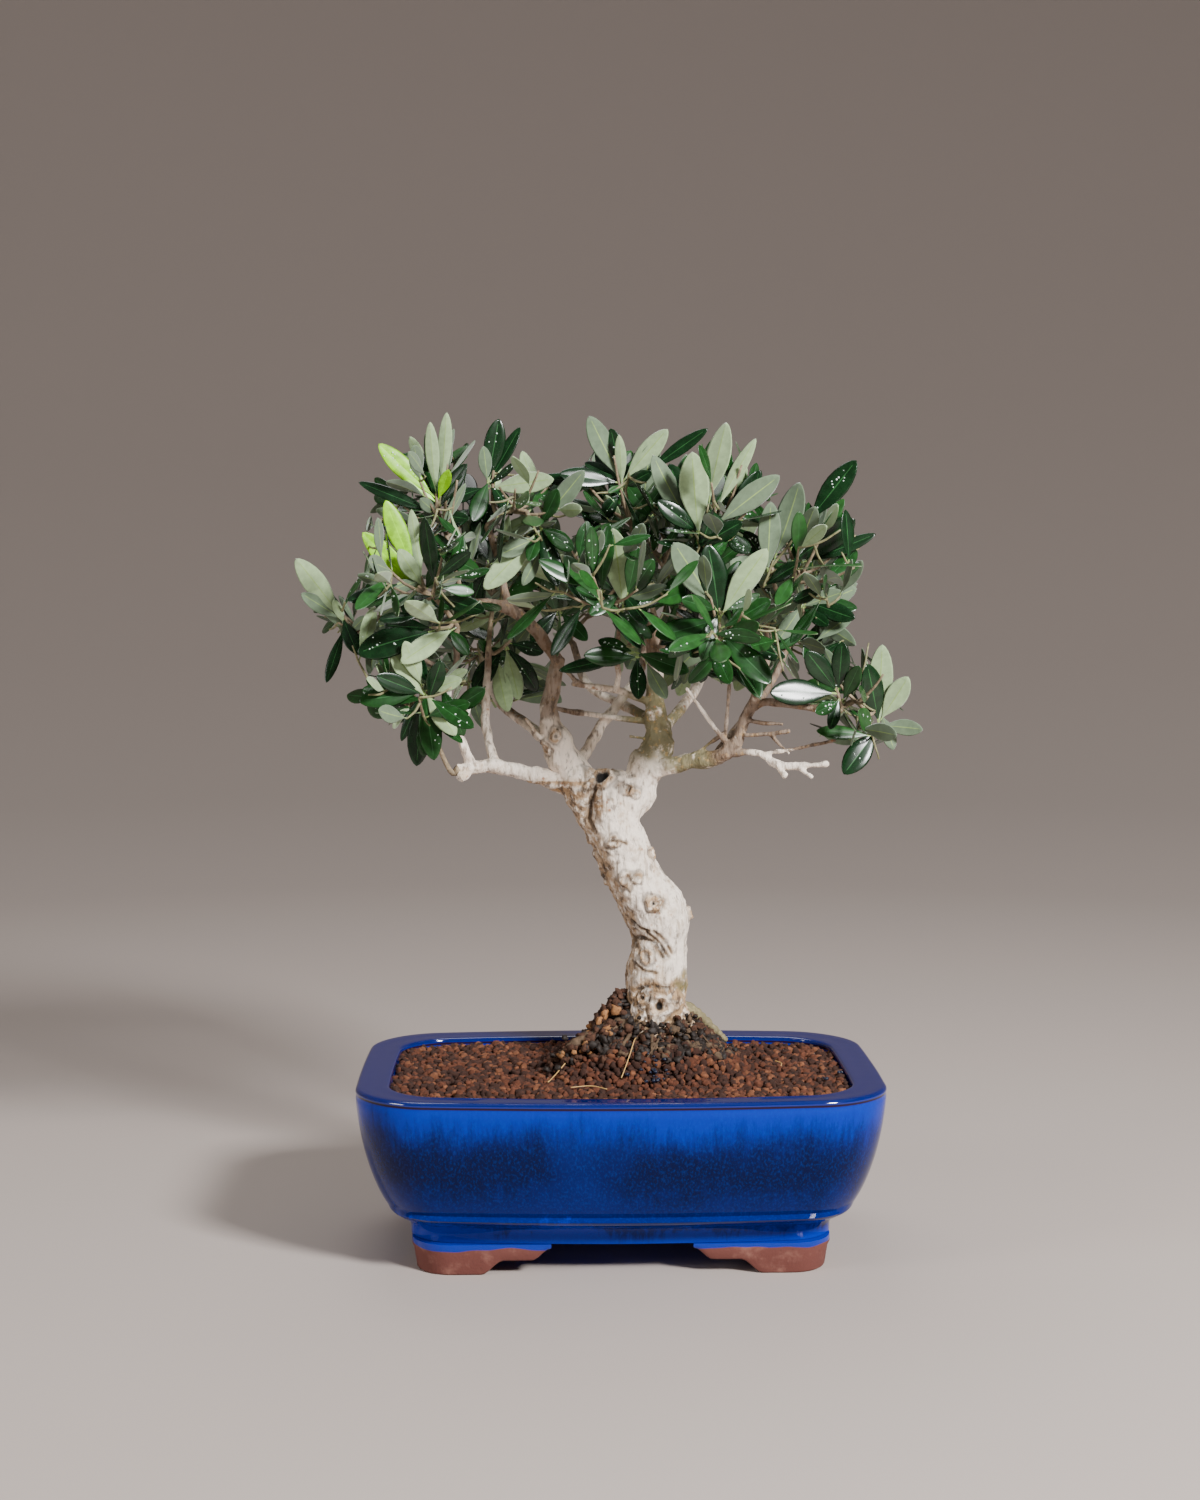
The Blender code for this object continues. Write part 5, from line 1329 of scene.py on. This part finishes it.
def trunk_left_edge(z):
    """How far left the trunk reaches at a height."""
    for low, high in zip(TRUNK, TRUNK[1:]):
        if z < high[2]:
            t = max(0.0, (z - low[2]) / (high[2] - low[2]))
            return low[0] + (high[0] - low[0]) * t - (low[3] + (high[3] - low[3]) * t)
    return TRUNK[-1][0] - TRUNK[-1][3]


def build_bark(bark):
    """One mesh with real relief for the trunk and all boughs."""
    mesh = fused_limbs(bark.voxel)
    mesh.name = "bark"
    count = len(mesh.vertices)
    normals = [v.normal.copy() for v in mesh.vertices]
    layers = np.empty((count, 4), dtype=np.float32)
    for i, vertex in enumerate(mesh.vertices):
        point = vertex.co
        deep = bark.relief * (1.0 if point.z < 0.19 else 0.55)
        stretched = Vector((point.x, point.y, point.z * 0.45))
        ridge = noise.fractal(stretched * 520, 0.8, 2.1, 3)
        lumpy = noise.noise(point * 150) + 0.4 * noise.noise(point * 330)
        fine = noise.noise(point * 900)
        foot = smoothstep((0.106 - point.z) / 0.014)
        height, dark, tan, clean = knot_shape(point)
        furrow, furrow_shade_and_tan = furrow_shape(point)
        height += deep * (0.9 * ridge + 0.6 * fine) + 0.0009 * lumpy * (1 + foot)
        height += 0.0008 * foot * noise.noise(point * 420)
        thin = min(1.0, 0.22 + 0.78 * smoothstep((0.215 - point.z) / 0.02))
        # Furrows add painted shade to the dark layer and tan to the rough layer
        layers[i] = bark_layers(point, max(dark, 0.72 * furrow_shade_and_tan ** 2), max(tan, furrow_shade_and_tan), clean)
        vertex.co = point + normals[i] * (height * thin + furrow)
    mesh.transform(Matrix.Translation(PLACE))
    layer = mesh.color_attributes.new("layers", "FLOAT_COLOR", "POINT")
    layer.data.foreach_set("color", layers.ravel())
    mesh.materials.clear()
    mesh.materials.append(live_olive_bark(bark))
    mesh.shade_smooth()
    piece = bpy.data.objects.new("bark", mesh)
    bpy.context.scene.collection.objects.link(piece)
    ride_root(piece, "bark", "trunk", *BOUGHS)


def stem_path(name, width=0.0009):
    """Stem of a mass: from its bough's tip to the middle of its space."""
    bough, centre = MASSES[name][:2]
    stations = BOUGHS[bough]
    tip = Vector(stations[-1][:3])
    heading = (tip - Vector(stations[-2][:3])).normalized()
    bend = tip + heading * STEM_STRAIGHT
    middle = Vector(centre)
    between = bend.lerp(middle, 0.5) + Vector((0, 0, STEM_ARCH))
    start = tip - heading * 0.001
    return [(*start, stations[-1][3]), (*bend, width * 1.2), (*between, width), (*middle, width * 0.8)]


def space_score(point, name):
    """Scaled distance from the middle of a mass's space, 1 at its edge."""
    centre, reach = MASSES[name][1:3]
    return math.sqrt(sum(((p - c) / r) ** 2 for p, c, r in zip(point, centre, reach)))


def keeps_to_space(point, name):
    """Whether a point lies in a mass's own space and nearer to it than to any other."""
    own = space_score(point, name)
    if own > 1.0:
        return False
    return all(space_score(point, other) > own + SPACE_MARGIN for other in MASSES if other != name)


def front_view(point):
    """Where a point shows from the front, in metres on the crown's middle plane."""
    share = VIEW_PLACE.y / (VIEW_PLACE.y - point.y)
    return (VIEW_PLACE.x + (point.x - VIEW_PLACE.x) * share, VIEW_PLACE.z + (point.z - VIEW_PLACE.z) * share)


def shows_as_sky(point):
    """Whether a point would cover sky from the front: in a gap of the crown or past its edge."""
    x, z = (value / MM for value in front_view(point))
    if any(((x - gap[0]) / gap[2]) ** 2 + ((z - gap[1]) / gap[3]) ** 2 < 1.0 for gap in GAPS):
        return True
    inside = False
    for (ax, az), (bx, bz) in zip(EDGE, EDGE[1:] + EDGE[:1]):
        if (az > z) != (bz > z) and x < ax + (bx - ax) * (z - az) / (bz - az):
            inside = not inside
    return not inside


def nearest_on_path(point, path):
    """Point of a path's axis that lies nearest to a point."""
    best = None
    for a, b in zip(path, path[1:]):
        start, end = Vector(a[:3]), Vector(b[:3])
        along = end - start
        t = min(max((point - start).dot(along) / along.length_squared, 0.0), 1.0)
        candidate = start + along * t
        if best is None or (candidate - point).length < (best - point).length:
            best = candidate
    return best


def grow_shoots(name, rng):
    """Shoots of one mass, which leave its stem and fan out by the golden angle."""
    centre, reach, count = MASSES[name][1:4]
    stem = stem_path(name)
    start = Vector(stem[1][:3])
    middle = Vector(centre)
    outward = (middle - CROWN_CENTRE).normalized()
    turn = rng.uniform(0, 2 * math.pi)
    shoots = []
    for k in range(count):
        azimuth = turn + k * GOLDEN_ANGLE
        level = SHOOT_LOWEST + (SHOOT_HIGHEST - SHOOT_LOWEST) * (k + rng.uniform(0.2, 0.8)) / count
        flat = math.sqrt(1 - level * level)
        spread = Vector((math.cos(azimuth) * flat, math.sin(azimuth) * flat, level))
        heading = (spread + outward * OUTWARD_PULL).normalized()
        share = rng.uniform(*SHOOT_START) + SHOOT_CLIMB * k / count
        leave = nearest_on_path(start.lerp(middle, share), stem)
        far = Vector([h * r for h, r in zip(heading, reach)])
        span = middle + far * rng.uniform(*SHOOT_REACH) - leave
        direction = span.normalized()
        upward = (direction + Vector((0, 0, UPWARD_BEND))).normalized()
        face = direction.orthogonal().normalized()
        face.rotate(Matrix.Rotation(rng.uniform(0, math.pi), 3, direction))
        knee = leave + direction * span.length / 2
        tip = knee + upward * span.length / 2
        if keeps_to_space(tip, name):
            shoots.append(((leave, knee, tip), face))
    return shoots


def shoot_nodes(path, face, spacing, bare):
    """Places along a shoot where a pair of leaves stands, with its axis, side and share there."""
    leave, knee, tip = path
    lower = (knee - leave).normalized()
    upper = (tip - knee).normalized()
    span = (knee - leave).length + (tip - knee).length
    pairs = max(2, min(6, round(span * (1 - bare) / spacing) + 1))
    nodes = []
    for pair in range(pairs):
        reached = pair / (pairs - 1)
        share = bare + (LAST_NODE_SHARE - bare) * reached
        axis = lower if share < 0.5 else upper
        place = leave.lerp(knee, share * 2) if share < 0.5 else knee.lerp(tip, share * 2 - 1)
        side = (face - axis * face.dot(axis)).normalized()
        if pair % 2:
            side = axis.cross(side)
        nodes.append((place, axis, side, reached))
    return nodes


class Crown:
    """Leaves and twigs grown so far, with quick tests of what a new leaf would cut."""

    def __init__(self, settings, limbs):
        self.settings = settings
        self.limbs = limbs
        self.leaves = []
        self.twigs = []
        self.middles = []
        self.trees = []
        self.sprays = []

    def is_free(self, leaf):
        """Whether a leaf cuts no limb and no other leaf."""
        root, heading, normal, size = leaf[:4]
        tree = blade_tree(leaf)
        if any(tree.overlap(limb) for limb in self.limbs):
            return None
        middle = root + heading * size * 0.55
        near = np.array(self.middles) if self.middles else np.empty((0, 3))
        if len(near):
            close = np.nonzero(((near - np.array(middle)) ** 2).sum(axis=1) < 0.034 ** 2)[0]
            if any(tree.overlap(self.trees[i]) for i in close):
                return None
        return tree

    def hides_spray(self, leaf):
        """Whether a leaf would stand before a measured one as seen from the front."""
        root, heading, normal, size = leaf[:4]
        for share in (0.5, 1.0):
            point = root + heading * size * share
            seen = Vector(front_view(point))
            for start, end, depth, half in self.sprays:
                if point.y < depth:
                    along = end - start
                    t = min(max((seen - start).dot(along) / along.length_squared, 0.0), 1.0)
                    if (start + along * t - seen).length < half:
                        return True
        return False

    def add(self, leaf, tree):
        """Keep a leaf."""
        root, heading, normal, size = leaf[:4]
        self.leaves.append(leaf)
        self.middles.append(tuple(root + heading * size * 0.55))
        self.trees.append(tree)


def blade_tree(leaf):
    """Search tree of a leaf's blade past its stalk."""
    root, heading, normal, size, width = leaf[:5]
    across = heading.cross(normal)
    points = []
    for share, wide in ((0.16, 0.25), (0.40, 0.85), (0.72, 0.95), (0.97, 0.2)):
        middle = root + heading * size * share
        half = across * size * width / 2 * wide
        points += [middle + half, middle - half]
    faces = [(0, 1, 3, 2), (2, 3, 5, 4), (4, 5, 7, 6)]
    return BVHTree.FromPolygons(points, faces)


def grow_leaf(crown, name, node, side, rng, tone, scale=1.0):
    """Add one leaf at a node, turned or shortened until it is free and keeps to its space."""
    place, axis, face, share = node
    settings = crown.settings
    spread = rng.uniform(-OPENING_SPREAD, OPENING_SPREAD)
    opening = math.radians(OPENING_FIRST - OPENING_FALL * share + spread)
    size = settings.leaf_length * scale * (1.0 - LEAF_FALL * abs(share - LONGEST_AT))
    size *= rng.uniform(*LEAF_SPREAD)
    lift = LEAF_LIFT * rng.random()
    width = settings.leaf_width * rng.uniform(0.85, 1.15)
    for shorter, wider, turn in LEAF_CHOICES:
        turned_side = face * side
        turned_side.rotate(Matrix.Rotation(turn, 3, axis))
        angle = opening + wider
        aim = axis * math.cos(angle) + turned_side * math.sin(angle) + Vector((0, 0, lift))
        aim.normalize()
        # The waxy side turns to the light, away from the crown's middle
        light = axis * 0.5 + (place - CROWN_CENTRE).normalized() * 0.7 + Vector((0, 0, 0.4))
        normal = (light - aim * light.dot(aim)).normalized()
        normal.rotate(Matrix.Rotation(rng.gauss(0, 0.55), 3, aim))
        tip = place + aim * size * shorter
        if not keeps_to_space(tip, name) or shows_as_sky(tip) or shows_as_sky(place.lerp(tip, 0.5)):
            continue
        leaf = (place, aim, normal, size * shorter, width, tone)
        if crown.hides_spray(leaf):
            continue
        tree = crown.is_free(leaf)
        if tree:
            crown.add(leaf, tree)
            return True
    return False


def grow_twig(crown, name, path, face, rng, radius, spacing, bare, scale=1.0):
    """Leaves along one twig; the twig stays only if some of them do."""
    grown = 0
    tone = rng.choice(("upper", "upper", "deep", "fresh"))
    for node in shoot_nodes(path, face, spacing, bare):
        for side in (1, -1):
            grown += grow_leaf(crown, name, node, side, rng, tone, scale)
    if grown:
        leave, knee, tip = path
        crown.twigs.append(((*leave, radius), (*knee, radius * 0.85), (*tip, radius * 0.6)))
    return grown


def fill_mass(crown, name, rng):
    """Finer twigs towards empty places of a mass's space, each from the nearest twig."""
    centre, reach = MASSES[name][1:3]
    twigs = [t for t in crown.twigs if space_score(Vector(t[0][:3]), name) < 1.3]
    for _ in range(crown.settings.fill):
        heading = Vector([rng.gauss(0, 1) for _ in range(3)]).normalized()
        target = Vector(centre) + Vector([h * r for h, r in zip(heading, reach)]) * rng.uniform(0.25, 0.80)
        if not keeps_to_space(target, name) or shows_as_sky(target):
            continue
        start = min((nearest_on_path(target, twig) for twig in twigs), key=lambda p: (p - target).length)
        span = target - start
        if not 0.006 < span.length < 0.032:
            continue
        direction = span.normalized()
        upward = (direction + Vector((0, 0, UPWARD_BEND))).normalized()
        knee = start + direction * span.length / 2
        tip = knee + upward * span.length / 2
        face = direction.orthogonal().normalized()
        face.rotate(Matrix.Rotation(rng.uniform(0, math.pi), 3, direction))
        before = len(crown.twigs)
        grow_twig(crown, name, (start, knee, tip), face, rng, 0.00055, crown.settings.spacing, 0.25)
        twigs += crown.twigs[before:]


def place_sprays(crown, rng):
    """Sprays that show in front, each leaf between its twig's node and its tip."""
    widths = {"d": 0.32, "p": 0.31, "g": 0.32, "l": 0.27, "n": 0.19, "q": 0.19}
    tones = {"n": "deep", "l": "lime", "p": "pale", "q": "pale", "g": "grey"}
    for node, tips in SPRAYS:
        node = Vector(node) * MM
        heights = [tip[2] for tip in tips]
        axis = Vector((sum(t[0] for t in tips) / len(tips) * 0.4, 0, max(heights) * 0.35)).normalized()
        for dx, dy, dz, look in tips:
            tip = node + Vector((dx, dy, dz)) * MM
            along = node + axis * rng.uniform(-0.004, 0.005)
            size = (tip - along).length
            heading = (tip - along).normalized()
            if size > 0.036:
                root = tip - heading * 0.032
                crown.twigs.append(((*along, 0.0006), (*along.lerp(root, 0.5), 0.0005), (*root, 0.0004)))
                along, size = root, 0.032
            kind = look.lower()
            toward = Vector((rng.uniform(-0.4, 0.4), -1.0, rng.uniform(-0.1, 0.6)))
            if kind in "pgq":
                toward = -toward
            normal = (toward - heading * toward.dot(heading)).normalized()
            width = widths[kind] * (1.18 if look.isupper() else 1.0) * (0.030 / max(size, 0.018)) ** 0.35
            tone = tones.get(kind, rng.choice(("upper", "deep")))
            leaf = (along, heading, normal, size, width, tone)
            crown.add(leaf, blade_tree(leaf))
            start, end = Vector(front_view(along.lerp(tip, 0.2))), Vector(front_view(tip))
            crown.sprays.append((start, end, (along.y + tip.y) / 2, 0.0032))
        # The node's own twig, back towards the nearest stem
        stems = [stem_path(name) for name in MASSES]
        back = min((nearest_on_path(node, stem) for stem in stems), key=lambda p: (p - node).length)
        middle = back.lerp(node, 0.5) - Vector((0, 0, 0.0015))
        crown.twigs.append(((*back, 0.0010), (*middle, 0.0009), (*(node + axis * 0.006), 0.0006)))


LEAF_ROWS = (0.0, 0.05, 0.10, 0.16, 0.25, 0.37, 0.50, 0.63, 0.75, 0.85, 0.92, 0.97, 1.0)
LEAF_COLUMNS = (-1.0, -0.86, -0.45, -0.045, 0.045, 0.45, 0.86, 1.0)
# Upper and lower material of each tone; lower material 5 is the felted underside with painted shade
TONES = {
    "upper": (0, 5), "deep": (1, 5), "fresh": (2, 4), "lime": (3, 3), "pale": (2, 4), "grey": (0, 5)}
LOWER_RIB, LIME_RIB, UPPER_RIB = 6, 7, 8


def leaf_grid():
    """Faces of a leaf's upper and lower side, and which of them are stalk or rib."""
    rows, columns = len(LEAF_ROWS), len(LEAF_COLUMNS)
    upper = np.arange(rows * columns).reshape(rows, columns)
    lower = upper.copy()
    lower[1:-1, 1:-1] = rows * columns + np.arange((rows - 2) * (columns - 2)).reshape(rows - 2, columns - 2)
    faces, parts = [], []
    for i in range(rows - 1):
        for j in range(columns - 1):
            rib = j == (columns - 2) // 2 and LEAF_ROWS[i] < 0.9
            stalk = LEAF_ROWS[i] < 0.10
            faces.append((upper[i, j], upper[i + 1, j], upper[i + 1, j + 1], upper[i, j + 1]))
            parts.append(2 if stalk else 3 if rib else 0)
            faces.append((lower[i, j], lower[i, j + 1], lower[i + 1, j + 1], lower[i + 1, j]))
            parts.append(2 if stalk or rib else 1)
    return np.array(faces), np.array(parts)


def half_width(share):
    """Half of a leaf's width along its length, 1 at the widest: a stalk, then a blade with a round end."""
    stalk, widest = 0.075, 0.57
    if share < 0.08:
        return stalk
    t = (share - 0.08) / 0.92
    if t < widest:
        return max(stalk, math.sin(math.pi / 2 * t / widest) ** 1.20)
    return (1 - ((t - widest) / (1 - widest)) ** 2.0) ** 0.68


HALF_WIDTHS = np.array([half_width(s) for s in LEAF_ROWS])
LEAF_FACES, LEAF_PARTS = leaf_grid()


def leaf_arrays(leaf, thickness, rng):
    """Arrays of one curved leaf with a keel, a rolled margin and two sides."""
    root, heading, normal, size, width, tone = leaf
    across = heading.cross(normal)
    rows, columns = np.array(LEAF_ROWS), np.array(LEAF_COLUMNS)
    young = tone in ("lime", "pale")
    bend = rng.uniform(-0.05, 0.16) if young else rng.uniform(-0.16, 0.08)
    keel = rng.uniform(0.10, 0.26)
    sway = rng.uniform(-0.06, 0.06)
    twist = rng.uniform(-0.35, 0.35)
    wide = HALF_WIDTHS[:, None] * columns[None, :] * size * width / 2
    rise = np.abs(wide) * keel - 0.10 * size * width * HALF_WIDTHS[:, None] * np.abs(columns[None, :]) ** 3
    arc = (rows ** 2 - rows * 0.6) * bend * size
    side = rows ** 2 * sway * size
    turn = twist * rows
    x = wide * np.cos(turn)[:, None] + side[:, None]
    y = rise + arc[:, None] + wide * np.sin(turn)[:, None]
    along = rows[:, None] * size + np.zeros_like(wide)
    axes = [np.array(v) for v in (heading, across, normal)]
    base = np.array(root)
    upper = base + along[..., None] * axes[0] + x[..., None] * axes[1] + y[..., None] * axes[2]
    depth = thickness * (1 - 0.55 * np.abs(columns[None, 1:-1, None]))
    lower = upper[1:-1, 1:-1] - depth * axes[2]
    points = np.concatenate([upper.reshape(-1, 3), lower.reshape(-1, 3)])
    top, bottom = TONES[tone]
    young = tone == "lime"
    tones = np.choose(LEAF_PARTS, (top, bottom, LIME_RIB if young else LOWER_RIB,
                                   LIME_RIB if young else UPPER_RIB))
    return points, LEAF_FACES, tones


def water_beads(leaves, rng):
    """Arrays of flat water beads on the upper sides of some leaves."""
    bm = bmesh.new()
    bmesh.ops.create_icosphere(bm, subdivisions=2, radius=1.0)
    ball = np.array([v.co[:] for v in bm.verts])
    faces = np.array([[v.index for v in f.verts] for f in bm.faces])
    bm.free()
    parts = []
    for leaf in leaves:
        root, heading, normal, size, width, tone = leaf
        if tone in ("pale", "grey") or rng.random() > 0.30:
            continue
        across = heading.cross(normal)
        axes = np.array([across[:], heading[:], normal[:]])
        for _ in range(rng.randint(3, 12)):
            share = rng.uniform(0.25, 0.85)
            offset = rng.uniform(-0.6, 0.6) * half_width(share) * size * width / 2
            place = root + heading * size * share + across * offset + normal * (abs(offset) * 0.15)
            radius = rng.uniform(0.00016, 0.00042)
            points = ball * np.array((radius, radius, radius * 0.6))
            parts.append((points @ axes + np.array(place), faces, np.zeros(len(faces))))
    return parts


def build_foliage(leaf):
    """Twigs and leaves of every mass, joined by kind into pieces of under 200,000 triangles."""
    limbs = []
    for path in limb_paths().values():
        bm = loft(tube_rings(path, 8, 0.0006))
        limbs.append(BVHTree.FromBMesh(bm))
        bm.free()
    crown = Crown(leaf, limbs)
    rng = random.Random(leaf.seed)
    place_sprays(crown, rng)
    for name in MASSES:
        own = random.Random(MASSES[name][-1])
        stem = stem_path(name)
        crown.twigs.append(stem)
        for path, face in grow_shoots(name, own):
            grow_twig(crown, name, path, face, own, 0.0007, leaf.spacing, BARE_SHARE)
    for name in MASSES:
        fill_mass(crown, name, rng)
    rib = felted_leaf("lower_midrib", tuple(leaf.rib))
    lime_rib = waxy_leaf("new_leaf_rib", tuple(min(1.0, c * 1.25) for c in leaf.lime), 0.4)
    upper_rib = waxy_leaf("upper_midrib", tuple(leaf.upper_rib), 0.32)
    materials = [
        waxy_leaf("waxed_leaf", tuple(leaf.upper)), waxy_leaf("waxed_old_leaf", tuple(leaf.deep), 0.24),
        waxy_leaf("waxed_fresh_leaf", tuple(leaf.fresh), 0.32),
        waxy_leaf("new_leaf", tuple(leaf.lime), 0.38),
        felted_leaf("felted_underside", tuple(leaf.under)),
        # Darker copy of the felted underside: painted shade
        felted_leaf("felted_underside_painted_shade", tuple(leaf.shade)),
        rib, lime_rib, upper_rib]
    parts = [leaf_arrays(one, leaf.thickness, rng) for one in crown.leaves]
    limit = 190000 // (2 * len(LEAF_FACES))
    masses = list(MASSES)
    pieces = math.ceil(len(parts) / limit)
    for number in range(pieces):
        chosen = parts[number * limit:(number + 1) * limit]
        leaves = piece_from_arrays(f"leaves_{number}", *join_arrays(chosen), materials)
        ride_root(leaves, "foliage", *masses[number::pieces])
    tubes = []
    for twig in crown.twigs:
        fine = spline(twig, 4)
        wobble = [(*(Vector(p[:3]) + noise.noise_vector(Vector(p[:3]) * 250) * 0.0002), p[3]) for p in fine]
        tubes.append(tube_arrays(wobble, 7, 0 if twig[0][3] > 0.00065 else 1))
    twigs = piece_from_arrays("twigs", *join_arrays(tubes), [
        baked_clay_grain("ripe_twig_bark", tuple(leaf.old_twig), 0.8),
        baked_clay_grain("green_twig_bark", tuple(leaf.young_twig), 0.6)])
    ride_root(twigs, "foliage")
    # Pale beads rather than clear water: their colour is a painted highlight
    bead_highlight = new_material("water_bead_painted_highlight", {"Base Color": srgb("D8E6DC"), "Roughness": 0.03, "IOR": 1.33})[0]
    beads = piece_from_arrays("water_beads", *join_arrays(water_beads(crown.leaves, rng)), [bead_highlight])
    ride_root(beads, "foliage")


VIEW_PLACE = Vector((-0.02927, -0.89956, 0.2683))
VIEW_TURN = math.radians(1.38)
VIEW_DROP = math.radians(4.22)


def build_stage(stage):
    """Plain pale floor, soft lights and the camera at the photo's angle."""
    rings = []
    for radius, height in ((0.01, 0.0), (0.6, 0.0), (1.1, 0.0), (1.5, 0.04), (1.9, 0.17),
                           (2.25, 0.40), (2.55, 0.72), (2.8, 1.15), (2.95, 1.7), (3.0, 3.5)):
        rings.append([(radius * math.cos(a), radius * math.sin(a), height)
                      for a in (math.radians(5 * i) for i in range(72))])
    bm = loft(rings)
    bm.faces.ensure_lookup_table()
    bmesh.ops.delete(bm, geom=[bm.faces[-1]], context="FACES_ONLY")
    bmesh.ops.reverse_faces(bm, faces=bm.faces)
    mesh = bpy.data.meshes.new("floor")
    bm.to_mesh(mesh)
    bm.free()
    mesh.shade_smooth()
    paper = new_material("matt_paper", {"Base Color": tuple(stage.floor), "Roughness": 0.9})[0]
    mesh.materials.append(paper)
    floor = bpy.data.objects.new("floor", mesh)
    bpy.context.scene.collection.objects.link(floor)
    target = PLACE + Vector((0, 0, 0.18))
    lamps = (("key", (0.75, -0.95, 0.85), 0.24, stage.key), ("fill", (-0.95, -0.55, 0.55), 0.40, stage.fill),
             ("top", (-0.10, 0.45, 1.25), 0.60, stage.fill))
    for name, place, size, power in lamps:
        light = bpy.data.lights.new(name, "AREA")
        light.energy = power
        light.size = size
        lamp = bpy.data.objects.new(name, light)
        lamp.location = place
        lamp.rotation_euler = (target - Vector(place)).to_track_quat("-Z", "Y").to_euler()
        bpy.context.scene.collection.objects.link(lamp)
    world = bpy.data.worlds.new("studio")
    world.use_nodes = True
    fill_sockets(world.node_tree, world.node_tree.nodes["Background"], {0: srgb("FFFDFB"), 1: stage.room})
    bpy.context.scene.world = world
    lens = bpy.data.cameras.new("camera")
    lens.sensor_fit = "HORIZONTAL"
    lens.sensor_width = 36.0
    lens.lens = stage.lens
    camera = bpy.data.objects.new("camera", lens)
    camera.location = VIEW_PLACE + PLACE
    camera.rotation_euler = (math.pi / 2 - VIEW_DROP, 0.0, -VIEW_TURN)
    bpy.context.scene.collection.objects.link(camera)
    bpy.context.scene.camera = camera


class BONSAI_OT_pot(bpy.types.Operator):
    """Replace the pot by its glazed shell"""
    bl_idname = "bonsai.pot"
    bl_label = "Glazed pot"

    def execute(self, context):
        build_pot(context.scene.bonsai_pot)
        return {"FINISHED"}


class BONSAI_OT_feet(bpy.types.Operator):
    """Replace the four feet by softened clay brackets"""
    bl_idname = "bonsai.feet"
    bl_label = "Clay feet"

    def execute(self, context):
        build_feet(context.scene.bonsai_pot)
        return {"FINISHED"}


class BONSAI_OT_grit(bpy.types.Operator):
    """Fill the pot with loose grains"""
    bl_idname = "bonsai.grit"
    bl_label = "Grit"

    def execute(self, context):
        build_grit(context.scene.bonsai_grit)
        return {"FINISHED"}


class BONSAI_OT_roots(bpy.types.Operator):
    """Lay roots, humus and litter round the trunk"""
    bl_idname = "bonsai.roots"
    bl_label = "Surface roots"

    def execute(self, context):
        build_roots(context.scene.bonsai_grit)
        return {"FINISHED"}


class BONSAI_OT_bark(bpy.types.Operator):
    """Replace the trunk and boughs by one mesh with bark relief"""
    bl_idname = "bonsai.bark"
    bl_label = "Trunk and boughs"

    def execute(self, context):
        build_bark(context.scene.bonsai_bark)
        return {"FINISHED"}


class BONSAI_OT_foliage(bpy.types.Operator):
    """Grow twigs, leaves and water beads in every mass"""
    bl_idname = "bonsai.foliage"
    bl_label = "Foliage"

    def execute(self, context):
        build_foliage(context.scene.bonsai_leaf)
        return {"FINISHED"}


class BONSAI_OT_stage(bpy.types.Operator):
    """Set the floor, the lights and the camera"""
    bl_idname = "bonsai.stage"
    bl_label = "Stage"

    def execute(self, context):
        build_stage(context.scene.bonsai_stage)
        return {"FINISHED"}


GROUPS = {"bonsai_pot": PotSettings, "bonsai_grit": GritSettings, "bonsai_bark": BarkSettings,
          "bonsai_leaf": LeafSettings, "bonsai_stage": StageSettings}
OPERATORS = (BONSAI_OT_stage, BONSAI_OT_pot, BONSAI_OT_feet, BONSAI_OT_grit, BONSAI_OT_roots,
             BONSAI_OT_bark, BONSAI_OT_foliage)


class VIEW3D_PT_bonsai(bpy.types.Panel):
    """Steps and settings of the bonsai."""
    bl_label = "Olive bonsai"
    bl_space_type = "VIEW_3D"
    bl_region_type = "UI"
    bl_category = "Bonsai"

    def draw(self, context):
        for operator in OPERATORS:
            self.layout.operator(operator.bl_idname)
        for name, group in GROUPS.items():
            box = self.layout.box()
            for prop in group.__annotations__:
                box.prop(getattr(context.scene, name), prop)


def register():
    for group in GROUPS.values():
        bpy.utils.register_class(group)
    for operator in (*OPERATORS, VIEW3D_PT_bonsai):
        bpy.utils.register_class(operator)
    for name, group in GROUPS.items():
        setattr(bpy.types.Scene, name, PointerProperty(type=group))


def unregister():
    for name in GROUPS:
        delattr(bpy.types.Scene, name)
    for operator in (VIEW3D_PT_bonsai, *reversed(OPERATORS)):
        bpy.utils.unregister_class(operator)
    for group in reversed(list(GROUPS.values())):
        bpy.utils.unregister_class(group)


def main():
    register()
    bpy.ops.bonsai.stage()
    bpy.ops.bonsai.pot()
    bpy.ops.bonsai.feet()
    bpy.ops.bonsai.grit()
    bpy.ops.bonsai.roots()
    bpy.ops.bonsai.bark()
    bpy.ops.bonsai.foliage()


if __name__ == "__main__":
    main()
